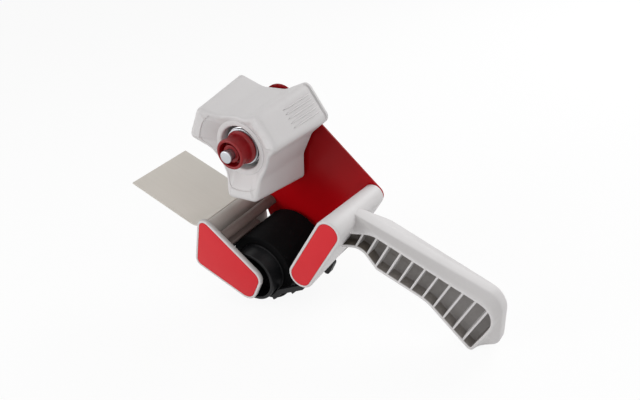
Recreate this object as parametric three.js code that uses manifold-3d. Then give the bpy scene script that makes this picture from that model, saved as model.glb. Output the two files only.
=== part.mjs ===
// Hand tape dispenser with a ribbed pistol grip, a braked three-lobed tape hub and a rubber roller.
// Millimetres. X runs from the wiper flap to the grip, Y from the open side to the side plate,
// and Z up from the surface that the roller and the grip's tip stand on.
import * as THREE from 'three';
import { mergeVertices } from 'three/addons/utils/BufferGeometryUtils.js';
import Module from 'manifold-3d';

const wasm = await Module();
wasm.setup();

// Driving dimensions
const fitGap = 0.3;
const runningGap = 0.4;
const cutOverrun = 1;
const arcSteps = 6;
const roundSides = 32;

const hubAxis = { x: 0, z: 108.6 };
const rollerRadius = 22.9;
const rollerAxis = { x: -7.5, z: rollerRadius };
const rootCentre = { x: 49.2, z: 52.3 };

const plate = {
  thickness: 1.6,
  headRadius: 13.2,
  headShiftX: 1.2,
  headRise: 10.3,
  axleRadius: 17.5,
  frontRadius: 8,
  rootBorder: 0.9,
};

const root = {
  angle: THREE.MathUtils.degToRad(52.5),
  nearFace: -55,
  nearHalfSpan: 20.6,
  nearRadius: 8.3,
  farHalfSpan: 16.6,
  farRadius: 6.6,
  edgeRadius: 0.9,
  insetMargin: 1.8,
  insetThickness: 0.6,
  screwHalfSpacing: 13,
};

const grip = {
  reach: 100,
  middle: -31,
  rimHalfWidth: 9.1,
  ridgeHalfWidth: 3,
  wall: 2,
  pocketDepth: 7.4,
  ribThickness: 1.3,
  ribCount: 11,
  ribPitch: 7.76,
  ribAngle: THREE.MathUtils.degToRad(55.5),
  ribRowAngle: THREE.MathUtils.degToRad(-32.6),
  firstRibX: 22.4,
  firstRibZ: 5.9,
};

const hub = {
  near: { face: -49, radius: 32.8, flankRadius: 21, halfAngle: THREE.MathUtils.degToRad(16.5) },
  far: { face: -2.6, radius: 38.8, flankRadius: 22.8, halfAngle: THREE.MathUtils.degToRad(15) },
  lobes: 3,
  arcSteps: 4,
  lobeAngle: THREE.MathUtils.degToRad(27),
  tipRoundShare: 0.19,
  flankRoundShare: 1.2,
  wall: 2.4,
  waistRadius: 21.3,
  waistFace: -42.4,
  riseExponent: 0.8,
  lobeNose: 5.5,
  waistNose: 1.1,
  noseStretch: 1.3,
  collarRadius: 17.4,
  eyeRadius: 13.6,
  eyeFace: -42.6,
  eyeLip: 1.2,
  recessFloor: -31.4,
  floorThickness: 2.4,
  boreRadius: 5.6,
  sleeveRadius: 9,
  webThickness: 2,
};

const bolt = {
  radius: 3,
  nearEnd: -55.6,
  headRadius: 6.5,
  headHeight: 3.2,
  nutRadius: 6.4,
  nutHeight: 3.6,
};

const brake = {
  washerThickness: 1.4,
  washerRadius: 12.4,
  frictionThickness: 0.9,
  slipThickness: 0.8,
  springWire: 1.2,
  springMeanRadius: 10.2,
  springTurns: 2.5,
  springLength: 5.6,
  springSides: 5,
  springStepsPerTurn: 8,
};

const knob = {
  rimFace: -52,
  rimRadius: 9.4,
  waistRadius: 8.7,
  wall: 1.9,
  cupDepth: 6,
  bossRadius: 5.5,
  bossFace: -50.6,
  flangeRadius: 10.4,
  flangeThickness: 1.6,
  nutRadius: 4.9,
  nutHeight: 4,
  nutInset: 1.8,
};

const roller = {
  nearEnd: -40,
  farEnd: -2.4,
  sleeveWall: 5.4,
  collarRadius: 16.8,
  collarWall: 2.2,
  collarEnd: -51,
  webThickness: 3,
  sleeveStep: 0.8,
  hubRadius: 6.2,
  bushWall: 1.2,
  bushLength: 6,
  axleRadius: 3,
  axleHeadRadius: 5.2,
  axleHeadHeight: 2.2,
};

const cheek = {
  outerFace: -55.5,
  thickness: 3.1,
  rim: 1.9,
  insetThickness: 0.6,
  insetGap: 0.15,
  bossRadius: 6,
  bossHeight: 0.9,
  axleDepth: 1.9,
  size: 58,
};

const front = {
  barThickness: 5,
  barWidth: 7,
  upperBar: { x: -22.4, z: 50.1, angle: THREE.MathUtils.degToRad(139) },
  lowerBar: { x: -23.4, z: 43.3, angle: THREE.MathUtils.degToRad(152) },
  lowerBarWidth: 6,
  lowerBarThickness: 2.4,
  lowerBarEnd: -18,
  guideThickness: 1.2,
  guideReach: 6,
  guideLift: 1.6,
  guideFall: 26,
};

const flap = {
  bend: { x: -36, z: 58.2 },
  tipReach: 57.3,
  tipRise: 19.8,
  sagReach: 13,
  sagDrop: 2.2,
  curlReach: 6.4,
  curlDrop: 5.6,
  thickness: 1,
  beadShare: 0.55,
  nearEdge: -52,
  farEdge: -0.4,
};

const blade = {
  edge: { x: 14.5, z: 12.5 },
  angle: THREE.MathUtils.degToRad(39),
  width: 15,
  thickness: 0.8,
  nearEnd: -42.5,
  farEnd: -4,
  toothPitch: 2.3,
  toothHeight: 1.7,
  holderThickness: 1.4,
  holderGap: 0.6,
  saddleStart: THREE.MathUtils.degToRad(-92),
  saddleEnd: THREE.MathUtils.degToRad(-150),
  tongueAngle: THREE.MathUtils.degToRad(-132),
  lugFar: -12,
  lugWidth: 4,
  lugRadius: 2.4,
  lugReach: 2,
  lugDrop: 8.5,
  lugHang: 2,
  armNear: -46,
  armWidth: 3.2,
  armStart: THREE.MathUtils.degToRad(-62),
  armEnd: THREE.MathUtils.degToRad(-34),
  screwInset: 4.5,
  screw: { radius: 1.2, headRadius: 2.3, headHeight: 1.2, length: 3.6 },
};

const screw = {
  radius: 1.7,
  headRadius: 3.4,
  headHeight: 2,
  length: 12,
};

// Colours and finishes
const material = (colour, roughness, metalness) => (
  new THREE.MeshStandardMaterial({ color: colour, roughness, metalness })
);
const lightPlastic = material(0xd8d5d1, 0.45, 0);
const redPaint = material(0x8f0d17, 0.3, 0.2);
const redInset = material(0xd2454a, 0.5, 0);
const redPlastic = material(0xb3131f, 0.35, 0);
const flapPlastic = material(0xc9c5be, 0.55, 0);
const darkSteel = material(0x2b2b2d, 0.5, 0.7);
const brightSteel = material(0xb9bcc0, 0.3, 0.9);
const chromeWire = material(0xd9dbde, 0.15, 1);
const blackRubber = material(0x151515, 0.8, 0);
const blackPlastic = material(0x1d1d1f, 0.5, 0);
const fibre = material(0x5b3a28, 0.9, 0);
const brass = material(0xb08d57, 0.4, 0.8);

const assembly = new THREE.Group();
const addPiece = (name, geometry, finish) => {
  const mesh = new THREE.Mesh(geometry, finish);
  mesh.name = name;
  assembly.add(mesh);
};

// Outlines are lists of Vector2 in the XZ plane, counterclockwise seen from the open side

// The path of a belt round circles, each [x, z, radius], that keeps to the outside of them all
function beltOutline(circles, steps = arcSteps) {
  const normals = circles.map(([x, z, radius], i) => {
    const [nextX, nextZ, nextRadius] = circles[(i + 1) % circles.length];
    const heading = Math.atan2(nextZ - z, nextX - x);
    const distance = Math.hypot(nextX - x, nextZ - z);
    return heading - Math.PI / 2 + Math.asin((radius - nextRadius) / distance);
  });
  return circles.flatMap(([x, z, radius], i) => {
    const start = normals[(i + circles.length - 1) % circles.length];
    const turn = THREE.MathUtils.euclideanModulo(normals[i] - start, 2 * Math.PI);
    return Array.from({ length: steps + 1 }, (_, step) => {
      const angle = start + turn * step / steps;
      return new THREE.Vector2(x + radius * Math.cos(angle), z + radius * Math.sin(angle));
    });
  });
}

// A polygon with rounded corners, each [x, z, radius]
function roundedOutline(corners, steps = arcSteps) {
  return corners.flatMap(([x, z, radius], i) => {
    const corner = new THREE.Vector2(x, z);
    const before = new THREE.Vector2(...corners[(i + corners.length - 1) % corners.length]);
    const after = new THREE.Vector2(...corners[(i + 1) % corners.length]);
    const toBefore = before.sub(corner).normalize();
    const toAfter = after.sub(corner).normalize();
    const halfAngle = Math.acos(toBefore.dot(toAfter)) / 2;
    const inward = toBefore.clone().add(toAfter).normalize();
    const centre = corner.clone().addScaledVector(inward, radius / Math.sin(halfAngle));
    const first = corner.clone().addScaledVector(toBefore, radius / Math.tan(halfAngle)).sub(centre);
    const last = corner.clone().addScaledVector(toAfter, radius / Math.tan(halfAngle)).sub(centre);
    const start = first.angle();
    let turn = last.angle() - start;
    if (turn > Math.PI) turn -= 2 * Math.PI;
    if (turn < -Math.PI) turn += 2 * Math.PI;
    return Array.from({ length: steps + 1 }, (_, step) => {
      const angle = start + turn * step / steps;
      return new THREE.Vector2(Math.cos(angle), Math.sin(angle)).multiplyScalar(radius).add(centre);
    });
  });
}

// The same corners with every side moved inward by a wall, and the radii kept concentric
function insetCorners(corners, wall) {
  return corners.map(([x, z, radius], i) => {
    const before = corners[(i + corners.length - 1) % corners.length];
    const after = corners[(i + 1) % corners.length];
    const incoming = new THREE.Vector2(x - before[0], z - before[1]).normalize();
    const outgoing = new THREE.Vector2(after[0] - x, after[1] - z).normalize();
    const convex = incoming.cross(outgoing) > 0;
    const normal = new THREE.Vector2(-incoming.y - outgoing.y, incoming.x + outgoing.x);
    const shift = 2 * wall / normal.lengthSq();
    const newRadius = convex ? Math.max(radius - wall, wall / 4) : radius + wall;
    return [x + normal.x * shift, z + normal.y * shift, newRadius];
  });
}

const circleOutline = (centre, radius, sides = roundSides) => (
  Array.from({ length: sides }, (_, i) => {
    const angle = 2 * Math.PI * i / sides;
    return new THREE.Vector2(centre.x + radius * Math.cos(angle), centre.z + radius * Math.sin(angle));
  })
);

// A flat bar's section: two half circles and the straight sides between them
function barOutline(centre, width, thickness, angle) {
  const reach = (width - thickness) / 2;
  const reachX = reach * Math.cos(angle);
  const reachZ = reach * Math.sin(angle);
  return beltOutline([
    [centre.x - reachX, centre.z - reachZ, thickness / 2],
    [centre.x + reachX, centre.z + reachZ, thickness / 2],
  ]);
}

// The section of a bent sheet: a path and the same path moved sideways by the thickness
function sheetOutline(path, thickness) {
  const moved = path.map((point, i) => {
    const before = path[Math.max(i - 1, 0)];
    const after = path[Math.min(i + 1, path.length - 1)];
    const along = after.clone().sub(before).normalize();
    return new THREE.Vector2(point.x - along.y * thickness, point.y + along.x * thickness);
  });
  const outline = [...path, ...moved.reverse()];
  return THREE.ShapeUtils.area(outline) > 0 ? outline : outline.reverse();
}

// A solid between two planes of Y with an outline in XZ
function slab(outline, yLow, yHigh, holes = []) {
  const shape = new THREE.Shape(outline);
  shape.holes = holes.map((hole) => new THREE.Path(hole));
  const geometry = new THREE.ExtrudeGeometry(shape, { depth: yHigh - yLow, bevelEnabled: false });
  return geometry.rotateX(Math.PI / 2).translate(0, yHigh, 0);
}

// A solid through rings of equal point counts. Each ring is a list of Vector3, clockwise seen along
// the direction of travel. It is capped at both ends, or its last ring joins its first.
function loftRings(rings, joined = false) {
  const count = rings[0].length;
  const positions = rings.flat().flatMap((point) => point.toArray());
  const index = [];
  const last = joined ? rings.length : rings.length - 1;
  for (let ring = 0; ring < last; ring += 1) {
    const here = ring * count;
    const next = ((ring + 1) % rings.length) * count;
    for (let i = 0; i < count; i += 1) {
      const j = (i + 1) % count;
      index.push(here + i, here + j, next + j, here + i, next + j, next + i);
    }
  }
  if (!joined) {
    const capPoints = (ring) => ring.map((point) => new THREE.Vector2(point.x, point.z));
    const end = (rings.length - 1) * count;
    for (const [a, b, c] of THREE.ShapeUtils.triangulateShape(capPoints(rings[0]), [])) {
      index.push(c, b, a);
    }
    for (const [a, b, c] of THREE.ShapeUtils.triangulateShape(capPoints(rings.at(-1)), [])) {
      index.push(end + a, end + b, end + c);
    }
  }
  const geometry = new THREE.BufferGeometry();
  geometry.setAttribute('position', new THREE.Float32BufferAttribute(positions, 3));
  geometry.setIndex(index);
  return geometry;
}

const ringAt = (outline, y) => outline.map((point) => new THREE.Vector3(point.x, y, point.y));

// A turned solid about an axis along Y: profile points are [radius, y], outer side upward
function turned(profile, axis, sides = roundSides) {
  const points = profile.map(([radius, y]) => new THREE.Vector2(radius, y));
  points.push(points[0].clone());
  return new THREE.LatheGeometry(points, sides).translate(axis.x, 0, axis.z);
}

const washer = (axis, inner, outer, yLow, yHigh) => (
  turned([[inner, yLow], [outer, yLow], [outer, yHigh], [inner, yHigh]], axis)
);

const disc = (axis, radius, yLow, yHigh) => (
  slab(circleOutline(axis, radius), yLow, yHigh)
);

// A hexagon nut with its hole, its flats outside the given corner radius
const hexNut = (axis, cornerRadius, holeRadius, yLow, yHigh) => (
  slab(circleOutline(axis, cornerRadius, 6), yLow, yHigh, [circleOutline(axis, holeRadius)])
);

// A pan-headed screw whose head stands on the plane yHead and whose shank runs towards smaller Y
function panScrew(axis, yHead, size = screw) {
  const tip = yHead - size.length;
  const crown = yHead + size.headHeight;
  return turned([
    [0, tip],
    [size.radius / 2, tip],
    [size.radius, tip + size.radius],
    [size.radius, yHead],
    [size.headRadius, yHead],
    [size.headRadius, crown - size.headHeight / 2],
    [size.headRadius / 2, crown],
    [0, crown],
  ], axis, roundSides / 2);
}

// Boolean joins and cuts
function toSolid(geometry) {
  const bare = geometry.clone();
  bare.deleteAttribute('normal');
  bare.deleteAttribute('uv');
  const merged = mergeVertices(bare);
  return new wasm.Manifold(new wasm.Mesh({
    numProp: 3,
    vertProperties: new Float32Array(merged.attributes.position.array),
    triVerts: new Uint32Array(merged.index.array),
  }));
}

function toGeometry(solid) {
  const mesh = solid.getMesh();
  const geometry = new THREE.BufferGeometry();
  geometry.setAttribute('position', new THREE.BufferAttribute(mesh.vertProperties, 3));
  geometry.setIndex(new THREE.BufferAttribute(mesh.triVerts, 1));
  return geometry;
}

const joinAll = (solid, geometries) => (
  geometries.reduce((sum, geometry) => sum.add(toSolid(geometry)), solid)
);
const cutAll = (solid, geometries) => (
  geometries.reduce((rest, geometry) => rest.subtract(toSolid(geometry)), solid)
);

// Places that several pieces share
const rootPoint = (distance) => ({
  x: rootCentre.x + distance * Math.cos(root.angle),
  z: rootCentre.z + distance * Math.sin(root.angle),
});
const rootBelt = (halfSpan, radius) => [
  [rootPoint(-halfSpan).x, rootPoint(-halfSpan).z, radius],
  [rootPoint(halfSpan).x, rootPoint(halfSpan).z, radius],
];
const rootScrewPlaces = [rootPoint(-root.screwHalfSpacing), rootPoint(root.screwHalfSpacing)];
const outerFace = plate.thickness;
const cheekInnerFace = cheek.outerFace + cheek.thickness;
const screwHoleRadius = screw.radius + fitGap;

// Places along the hub bolt, from the side plate towards the open side
const threadClear = bolt.radius + fitGap;
const nutFar = -fitGap;
const nutNear = nutFar - bolt.nutHeight;
const frictionFar = nutNear - fitGap;
const frictionNear = frictionFar - brake.frictionThickness;
const sleeveEnd = frictionNear - fitGap;

// Side plate: a belt round the hub's head, the front bar, the roller axle and the grip's root
function sidePlate() {
  const rootCorners = rootBelt(root.farHalfSpan, root.farRadius + plate.rootBorder);
  const outline = beltOutline([
    [rollerAxis.x, rollerAxis.z, plate.axleRadius],
    ...rootCorners,
    [hubAxis.x + plate.headShiftX, hubAxis.z + plate.headRise, plate.headRadius],
    [front.upperBar.x, front.upperBar.z, plate.frontRadius],
  ], 2 * arcSteps);
  const holes = [
    circleOutline(hubAxis, bolt.radius + fitGap),
    circleOutline(rollerAxis, roller.axleRadius + fitGap),
    ...rootScrewPlaces.map((place) => circleOutline(place, screwHoleRadius)),
    circleOutline(front.upperBar, screwHoleRadius),
  ];
  return slab(outline, 0, plate.thickness, holes);
}
addPiece('side_plate', sidePlate(), redPaint);

// Grip: outlines of the open rim and of the ridge behind it, as shares of the reach from the root
const rimCornerShares = [
  [0.01, -0.02, 0.01],
  [0.223, 0.009, 0.09],
  [0.307, -0.117, 0.03],
  [0.603, -0.263, 0.25],
  [0.844, -0.537, 0.025],
  [0.944, -0.401, 0.12],
  [1.047, -0.248, 0.12],
  [0.313, 0.124, 0.16],
  [0.078, 0.096, 0.01],
];
const ridgeCornerShares = [
  [0.01, -0.02, 0.01],
  [0.223, 0.009, 0.09],
  [0.307, -0.117, 0.03],
  [0.603, -0.263, 0.25],
  [0.844, -0.527, 0.025],
  [0.986, -0.483, 0.12],
  [1.04, -0.169, 0.12],
  [0.303, 0.157, 0.1],
  [0.078, 0.137, 0.01],
];
const gripCorners = (shares) => shares.map(([x, z, radius]) => [
  rootCentre.x + x * grip.reach,
  rootCentre.z + z * grip.reach,
  radius * grip.reach,
]);

// The cells between the ribs, cut from one side of the grip. The cut starts past the rim's plane.
function gripCells(side) {
  const rim = grip.middle + side * grip.rimHalfWidth;
  const floor = rim - side * grip.pocketDepth;
  const open = rim + side * cutOverrun;
  const yLow = Math.min(floor, open);
  const yHigh = Math.max(floor, open);
  const pocket = roundedOutline(insetCorners(gripCorners(rimCornerShares), grip.wall));
  const ribs = Array.from({ length: grip.ribCount }, (_, i) => {
    const distance = i * grip.ribPitch;
    const x = rootCentre.x + grip.firstRibX + distance * Math.cos(grip.ribRowAngle);
    const z = rootCentre.z + grip.firstRibZ + distance * Math.sin(grip.ribRowAngle);
    const rib = new THREE.BoxGeometry(grip.reach, grip.rimHalfWidth * 4, grip.ribThickness);
    return rib.rotateY(-grip.ribAngle).translate(x, grip.middle, z);
  });
  return toGeometry(cutAll(toSolid(slab(pocket, yLow, yHigh)), ribs));
}

function handle() {
  const rim = roundedOutline(gripCorners(rimCornerShares));
  const ridge = roundedOutline(gripCorners(ridgeCornerShares));
  const shell = loftRings([
    ringAt(rim, grip.middle + grip.rimHalfWidth),
    ringAt(ridge, grip.middle + grip.ridgeHalfWidth),
    ringAt(ridge, grip.middle - grip.ridgeHalfWidth),
    ringAt(rim, grip.middle - grip.rimHalfWidth),
  ]);
  const block = loftRings([
    ringAt(beltOutline(rootBelt(root.farHalfSpan, root.farRadius)), -fitGap),
    ringAt(beltOutline(rootBelt(root.nearHalfSpan, root.nearRadius)), root.nearFace + root.edgeRadius),
    ringAt(beltOutline(rootBelt(root.nearHalfSpan, root.nearRadius - root.edgeRadius / 3)),
      root.nearFace + root.edgeRadius / 3),
    ringAt(beltOutline(rootBelt(root.nearHalfSpan, root.nearRadius - root.edgeRadius)), root.nearFace),
  ]);
  const insetHole = slab(
    beltOutline(rootBelt(root.nearHalfSpan, root.nearRadius - root.insetMargin + cheek.insetGap)),
    root.nearFace - cutOverrun,
    root.nearFace + root.insetThickness,
  );
  const screwHoles = rootScrewPlaces.map((place) => (
    disc(place, screwHoleRadius, outerFace - screw.length - fitGap, cutOverrun)
  ));
  const ribbed = cutAll(toSolid(shell), [gripCells(-1), gripCells(1)]);
  return toGeometry(cutAll(joinAll(ribbed, [block]), [insetHole, ...screwHoles]));
}
addPiece('handle', handle(), lightPlastic);

const handleInset = slab(
  beltOutline(rootBelt(root.nearHalfSpan, root.nearRadius - root.insetMargin)),
  root.nearFace,
  root.nearFace + root.insetThickness - fitGap,
);
addPiece('handle_inset', handleInset, redInset);
rootScrewPlaces.forEach((place, i) => {
  addPiece(`handle_screw_${i + 1}`, panScrew(place, outerFace + fitGap), brightSteel);
});

// Hub: a closed skin of rings that runs down the outside, over the near end's nose and the dished
// face into the eye and its recess, through the bore and back up inside the far pocket. The near
// end reaches its face on the lobes and is set back on the flanks.
function hubOutline(end, inset = 0) {
  const corners = [];
  for (let lobe = 0; lobe < hub.lobes; lobe += 1) {
    const tip = hub.lobeAngle + 2 * Math.PI * lobe / hub.lobes;
    const flank = tip + Math.PI / hub.lobes;
    const at = (angle, distance, round) => [
      hubAxis.x + distance * Math.cos(angle),
      hubAxis.z + distance * Math.sin(angle),
      round,
    ];
    corners.push(at(tip - end.halfAngle, end.radius, end.radius * hub.tipRoundShare));
    corners.push(at(tip + end.halfAngle, end.radius, end.radius * hub.tipRoundShare));
    corners.push(at(flank, end.flankRadius, end.radius * hub.flankRoundShare));
  }
  return roundedOutline(inset ? insetCorners(corners, inset) : corners, hub.arcSteps);
}

const { near: hubNear, far: hubFar } = hub;
const hubPocketFloor = hub.recessFloor + hub.floorThickness;

function hubBody() {
  const outer = hubOutline(hubFar);
  const guide = hubOutline(hubNear);
  const guideStep = hubOutline(hubNear, 1);
  const fromAxis = guide.map((point) => new THREE.Vector2(point.x - hubAxis.x, point.y - hubAxis.z));
  const lobeShare = fromAxis.map((spoke) => {
    const rise = (spoke.length() - hub.waistRadius) / (hubNear.radius - hub.waistRadius);
    return THREE.MathUtils.clamp(rise, 0, 1);
  });
  const faceY = lobeShare.map((share) => (
    THREE.MathUtils.lerp(hub.waistFace, hubNear.face, share ** hub.riseExponent)
  ));
  const nose = lobeShare.map((share) => THREE.MathUtils.lerp(hub.waistNose, hub.lobeNose, share));
  const circle = (radius, y) => fromAxis.map((spoke) => {
    const reach = spoke.clone().setLength(radius);
    return new THREE.Vector3(hubAxis.x + reach.x, y, hubAxis.z + reach.y);
  });
  // The skin's outline a share of the nose inward and a share of its height before the face
  const noseRing = (inward, before) => guide.map((point, i) => {
    const y = faceY[i] + nose[i] * hub.noseStretch * before;
    const taper = (y - hubFar.face) / (hubNear.face - hubFar.face);
    const inset = guideStep[i].clone().sub(point).multiplyScalar(nose[i] * inward);
    const place = outer[i].clone().lerp(point, taper).add(inset);
    return new THREE.Vector3(place.x, y, place.y);
  });
  const cupRadius = hub.eyeRadius + hub.wall;
  const underFace = hub.eyeFace + hub.floorThickness;
  return loftRings([
    ringAt(outer, hubFar.face),
    noseRing(0, 1),
    noseRing(0.3, 0.3),
    noseRing(1, 0),
    circle(hub.collarRadius, hub.eyeFace),
    circle(hub.eyeRadius + hub.eyeLip, hub.eyeFace),
    circle(hub.eyeRadius, hub.eyeFace + hub.eyeLip),
    circle(hub.eyeRadius, hub.recessFloor),
    circle(hub.boreRadius, hub.recessFloor),
    circle(hub.boreRadius, sleeveEnd),
    circle(hub.sleeveRadius, sleeveEnd),
    circle(hub.sleeveRadius, hubPocketFloor),
    circle(cupRadius, hubPocketFloor),
    circle(cupRadius, underFace),
    ringAt(hubOutline(hubNear, hub.wall), underFace + hub.waistNose),
    ringAt(hubOutline(hubFar, hub.wall), hubFar.face),
  ], true);
}

// Radial webs in the far pocket, one to each lobe and one to each flank, set into wall and sleeve
function hubWebs() {
  const depth = sleeveEnd - hubPocketFloor;
  const bite = hub.wall / 2;
  return Array.from({ length: 2 * hub.lobes }, (_, i) => {
    const wallRadius = i % 2 ? hubNear.flankRadius : hubNear.radius * Math.cos(hubNear.halfAngle);
    const reach = wallRadius - hub.sleeveRadius;
    const web = new THREE.BoxGeometry(reach, depth, hub.webThickness);
    web.translate(hub.sleeveRadius - bite + reach / 2, hubPocketFloor + depth / 2, 0);
    return web.rotateY(-hub.lobeAngle - Math.PI * i / hub.lobes).translate(hubAxis.x, 0, hubAxis.z);
  });
}

addPiece('hub', toGeometry(joinAll(toSolid(hubBody()), hubWebs())), lightPlastic);

const bushOuter = hub.boreRadius - fitGap;
const bushInner = bolt.radius + runningGap;
addPiece('hub_bush', washer(
  hubAxis, bushInner, bushOuter, hub.recessFloor + fitGap, sleeveEnd,
), brass);

// Hub bolt: a domed head outside the plate and a plain shank through the hub to the knob
function hubBolt() {
  const headBase = outerFace + fitGap;
  return turned([
    [0, bolt.nearEnd],
    [bolt.radius - fitGap, bolt.nearEnd],
    [bolt.radius, bolt.nearEnd + fitGap],
    [bolt.radius, headBase],
    [bolt.headRadius, headBase],
    [bolt.headRadius, headBase + bolt.headHeight / 2],
    [bolt.headRadius / 2, headBase + bolt.headHeight],
    [0, headBase + bolt.headHeight],
  ], hubAxis);
}
addPiece('hub_bolt', hubBolt(), brightSteel);

addPiece('bolt_lock_nut', hexNut(hubAxis, bolt.nutRadius, threadClear, nutNear, nutFar), brightSteel);

addPiece('friction_washer', washer(
  hubAxis, threadClear, hub.sleeveRadius, frictionNear, frictionFar,
), fibre);

// Brake stack in the hub's recess: pressure washer, spring and slip washer up to the knob's flange
const pressureFar = hub.recessFloor - fitGap;
const pressureNear = pressureFar - brake.washerThickness;
addPiece('pressure_washer', washer(
  hubAxis, threadClear, brake.washerRadius, pressureNear, pressureFar,
), brightSteel);

// Spring: one tube of round wire along a helix about the bolt
function brakeSpring() {
  const steps = Math.round(brake.springTurns * brake.springStepsPerTurn);
  const wireRadius = brake.springWire / 2;
  const travel = brake.springLength - brake.springWire;
  const far = pressureNear - fitGap - wireRadius;
  const rings = [];
  const centres = [];
  for (let step = 0; step <= steps; step += 1) {
    const angle = 2 * Math.PI * step / brake.springStepsPerTurn;
    const y = far - travel * step / steps;
    const outward = new THREE.Vector3(Math.cos(angle), 0, Math.sin(angle));
    const centre = outward.clone().multiplyScalar(brake.springMeanRadius);
    centre.add(new THREE.Vector3(hubAxis.x, y, hubAxis.z));
    centres.push(centre);
    rings.push(Array.from({ length: brake.springSides }, (_, i) => {
      const around = 2 * Math.PI * i / brake.springSides;
      return centre.clone()
        .addScaledVector(outward, wireRadius * Math.cos(around))
        .add(new THREE.Vector3(0, wireRadius * Math.sin(around), 0));
    }));
  }
  let least = Infinity;
  for (let i = 0; i < centres.length; i += 1) {
    for (let j = i + brake.springStepsPerTurn / 2; j < centres.length; j += 1) {
      least = Math.min(least, centres[i].distanceTo(centres[j]) - brake.springWire);
    }
  }
  console.log(`brake spring: least gap between turns ${least.toFixed(2)} mm`);
  return wireFromRings(rings);
}

// A closed tube through rings of points, with a fan over each end
function wireFromRings(rings) {
  const sides = rings[0].length;
  const positions = rings.flat().flatMap((point) => point.toArray());
  const index = [];
  for (let ring = 0; ring + 1 < rings.length; ring += 1) {
    for (let i = 0; i < sides; i += 1) {
      const a = ring * sides + i;
      const b = ring * sides + (i + 1) % sides;
      index.push(a, b, b + sides, a, b + sides, a + sides);
    }
  }
  const end = (rings.length - 1) * sides;
  for (let i = 1; i + 1 < sides; i += 1) {
    index.push(0, i + 1, i, end, end + i, end + i + 1);
  }
  const geometry = new THREE.BufferGeometry();
  geometry.setAttribute('position', new THREE.Float32BufferAttribute(positions, 3));
  geometry.setIndex(index);
  return geometry;
}
addPiece('brake_spring', brakeSpring(), chromeWire);

const slipFar = pressureNear - fitGap - brake.springLength - fitGap;
const slipNear = slipFar - brake.slipThickness;
addPiece('slip_washer', washer(
  hubAxis, threadClear, brake.washerRadius - brake.springWire, slipNear, slipFar,
), brightSteel);

// Tension knob: a cup open towards the user with a boss round the bolt's end
const flangeFar = slipNear - fitGap;
const knobNutFar = flangeFar - knob.nutInset;
const knobNutNear = knobNutFar - knob.nutHeight;
function tensionKnob() {
  const flangeNear = flangeFar - knob.flangeThickness;
  const cupFloor = knob.rimFace + knob.cupDepth;
  const rimRound = knob.wall / 3;
  const body = turned([
    [threadClear, knob.bossFace],
    [knob.bossRadius - rimRound, knob.bossFace],
    [knob.bossRadius, knob.bossFace + rimRound],
    [knob.bossRadius, cupFloor],
    [knob.rimRadius - knob.wall, cupFloor],
    [knob.rimRadius - knob.wall, knob.rimFace + rimRound],
    [knob.rimRadius - knob.wall + rimRound, knob.rimFace],
    [knob.rimRadius - rimRound, knob.rimFace],
    [knob.rimRadius, knob.rimFace + rimRound],
    [knob.waistRadius, flangeNear],
    [knob.flangeRadius, flangeNear],
    [knob.flangeRadius, flangeFar],
    [threadClear, flangeFar],
  ], hubAxis);
  const nutSeat = slab(
    circleOutline(hubAxis, knob.nutRadius + fitGap, 6), knobNutNear - fitGap, flangeFar + cutOverrun,
  );
  return toGeometry(cutAll(toSolid(body), [nutSeat]));
}
addPiece('tension_knob', tensionKnob(), redPlastic);
addPiece('knob_nut', hexNut(hubAxis, knob.nutRadius, threadClear, knobNutNear, knobNutFar), brass);

// Roller: a rubber sleeve on a moulded core whose near collar is open towards the cheek
const coreRadius = rollerRadius - roller.sleeveWall - fitGap;
addPiece('roller_sleeve', turned([
  [coreRadius + fitGap, roller.nearEnd],
  [rollerRadius - roller.sleeveStep, roller.nearEnd],
  [rollerRadius, roller.nearEnd + roller.sleeveStep],
  [rollerRadius, roller.farEnd - roller.sleeveStep],
  [rollerRadius - roller.sleeveStep, roller.farEnd],
  [coreRadius + fitGap, roller.farEnd],
], rollerAxis, 2 * roundSides), blackRubber);

function rollerCore() {
  const collarFar = roller.nearEnd - fitGap;
  const webNear = roller.nearEnd;
  const boreRadius = roller.axleRadius + runningGap + roller.bushWall + fitGap;
  const tubeInner = coreRadius - roller.collarWall;
  const hubNear = roller.collarEnd + roller.collarWall;
  return turned([
    [boreRadius, hubNear],
    [roller.hubRadius + roller.bushWall, hubNear],
    [roller.hubRadius + roller.bushWall, webNear],
    [roller.collarRadius - roller.collarWall, webNear],
    [roller.collarRadius - roller.collarWall, roller.collarEnd],
    [roller.collarRadius, roller.collarEnd],
    [roller.collarRadius, collarFar],
    [coreRadius, collarFar],
    [coreRadius, roller.farEnd],
    [tubeInner, roller.farEnd],
    [tubeInner, webNear + roller.webThickness],
    [roller.hubRadius + roller.bushWall, webNear + roller.webThickness],
    [roller.hubRadius + roller.bushWall, roller.farEnd],
    [boreRadius, roller.farEnd],
  ], rollerAxis);
}
addPiece('roller_core', rollerCore(), blackPlastic);

function rollerBush(yLow) {
  const inner = roller.axleRadius + runningGap;
  return washer(rollerAxis, inner, inner + roller.bushWall, yLow, yLow + roller.bushLength);
}
addPiece('roller_bush_near', rollerBush(roller.collarEnd + roller.collarWall), brass);
addPiece('roller_bush_far', rollerBush(roller.farEnd - roller.bushLength), brass);

const axleEnd = cheekInnerFace - cheek.axleDepth + fitGap;
addPiece('roller_axle', turned([
  [0, axleEnd],
  [roller.axleRadius, axleEnd],
  [roller.axleRadius, outerFace + fitGap],
  [roller.axleHeadRadius, outerFace + fitGap],
  [roller.axleHeadRadius, outerFace + fitGap + roller.axleHeadHeight / 2],
  [roller.axleHeadRadius / 2, outerFace + fitGap + roller.axleHeadHeight],
  [0, outerFace + fitGap + roller.axleHeadHeight],
], rollerAxis), brightSteel);

addPiece('axle_retaining_nut', hexNut(
  rollerAxis, roller.axleHeadRadius, roller.axleRadius + fitGap, -fitGap - screw.headHeight / 2, -fitGap,
), brightSteel);

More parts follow.
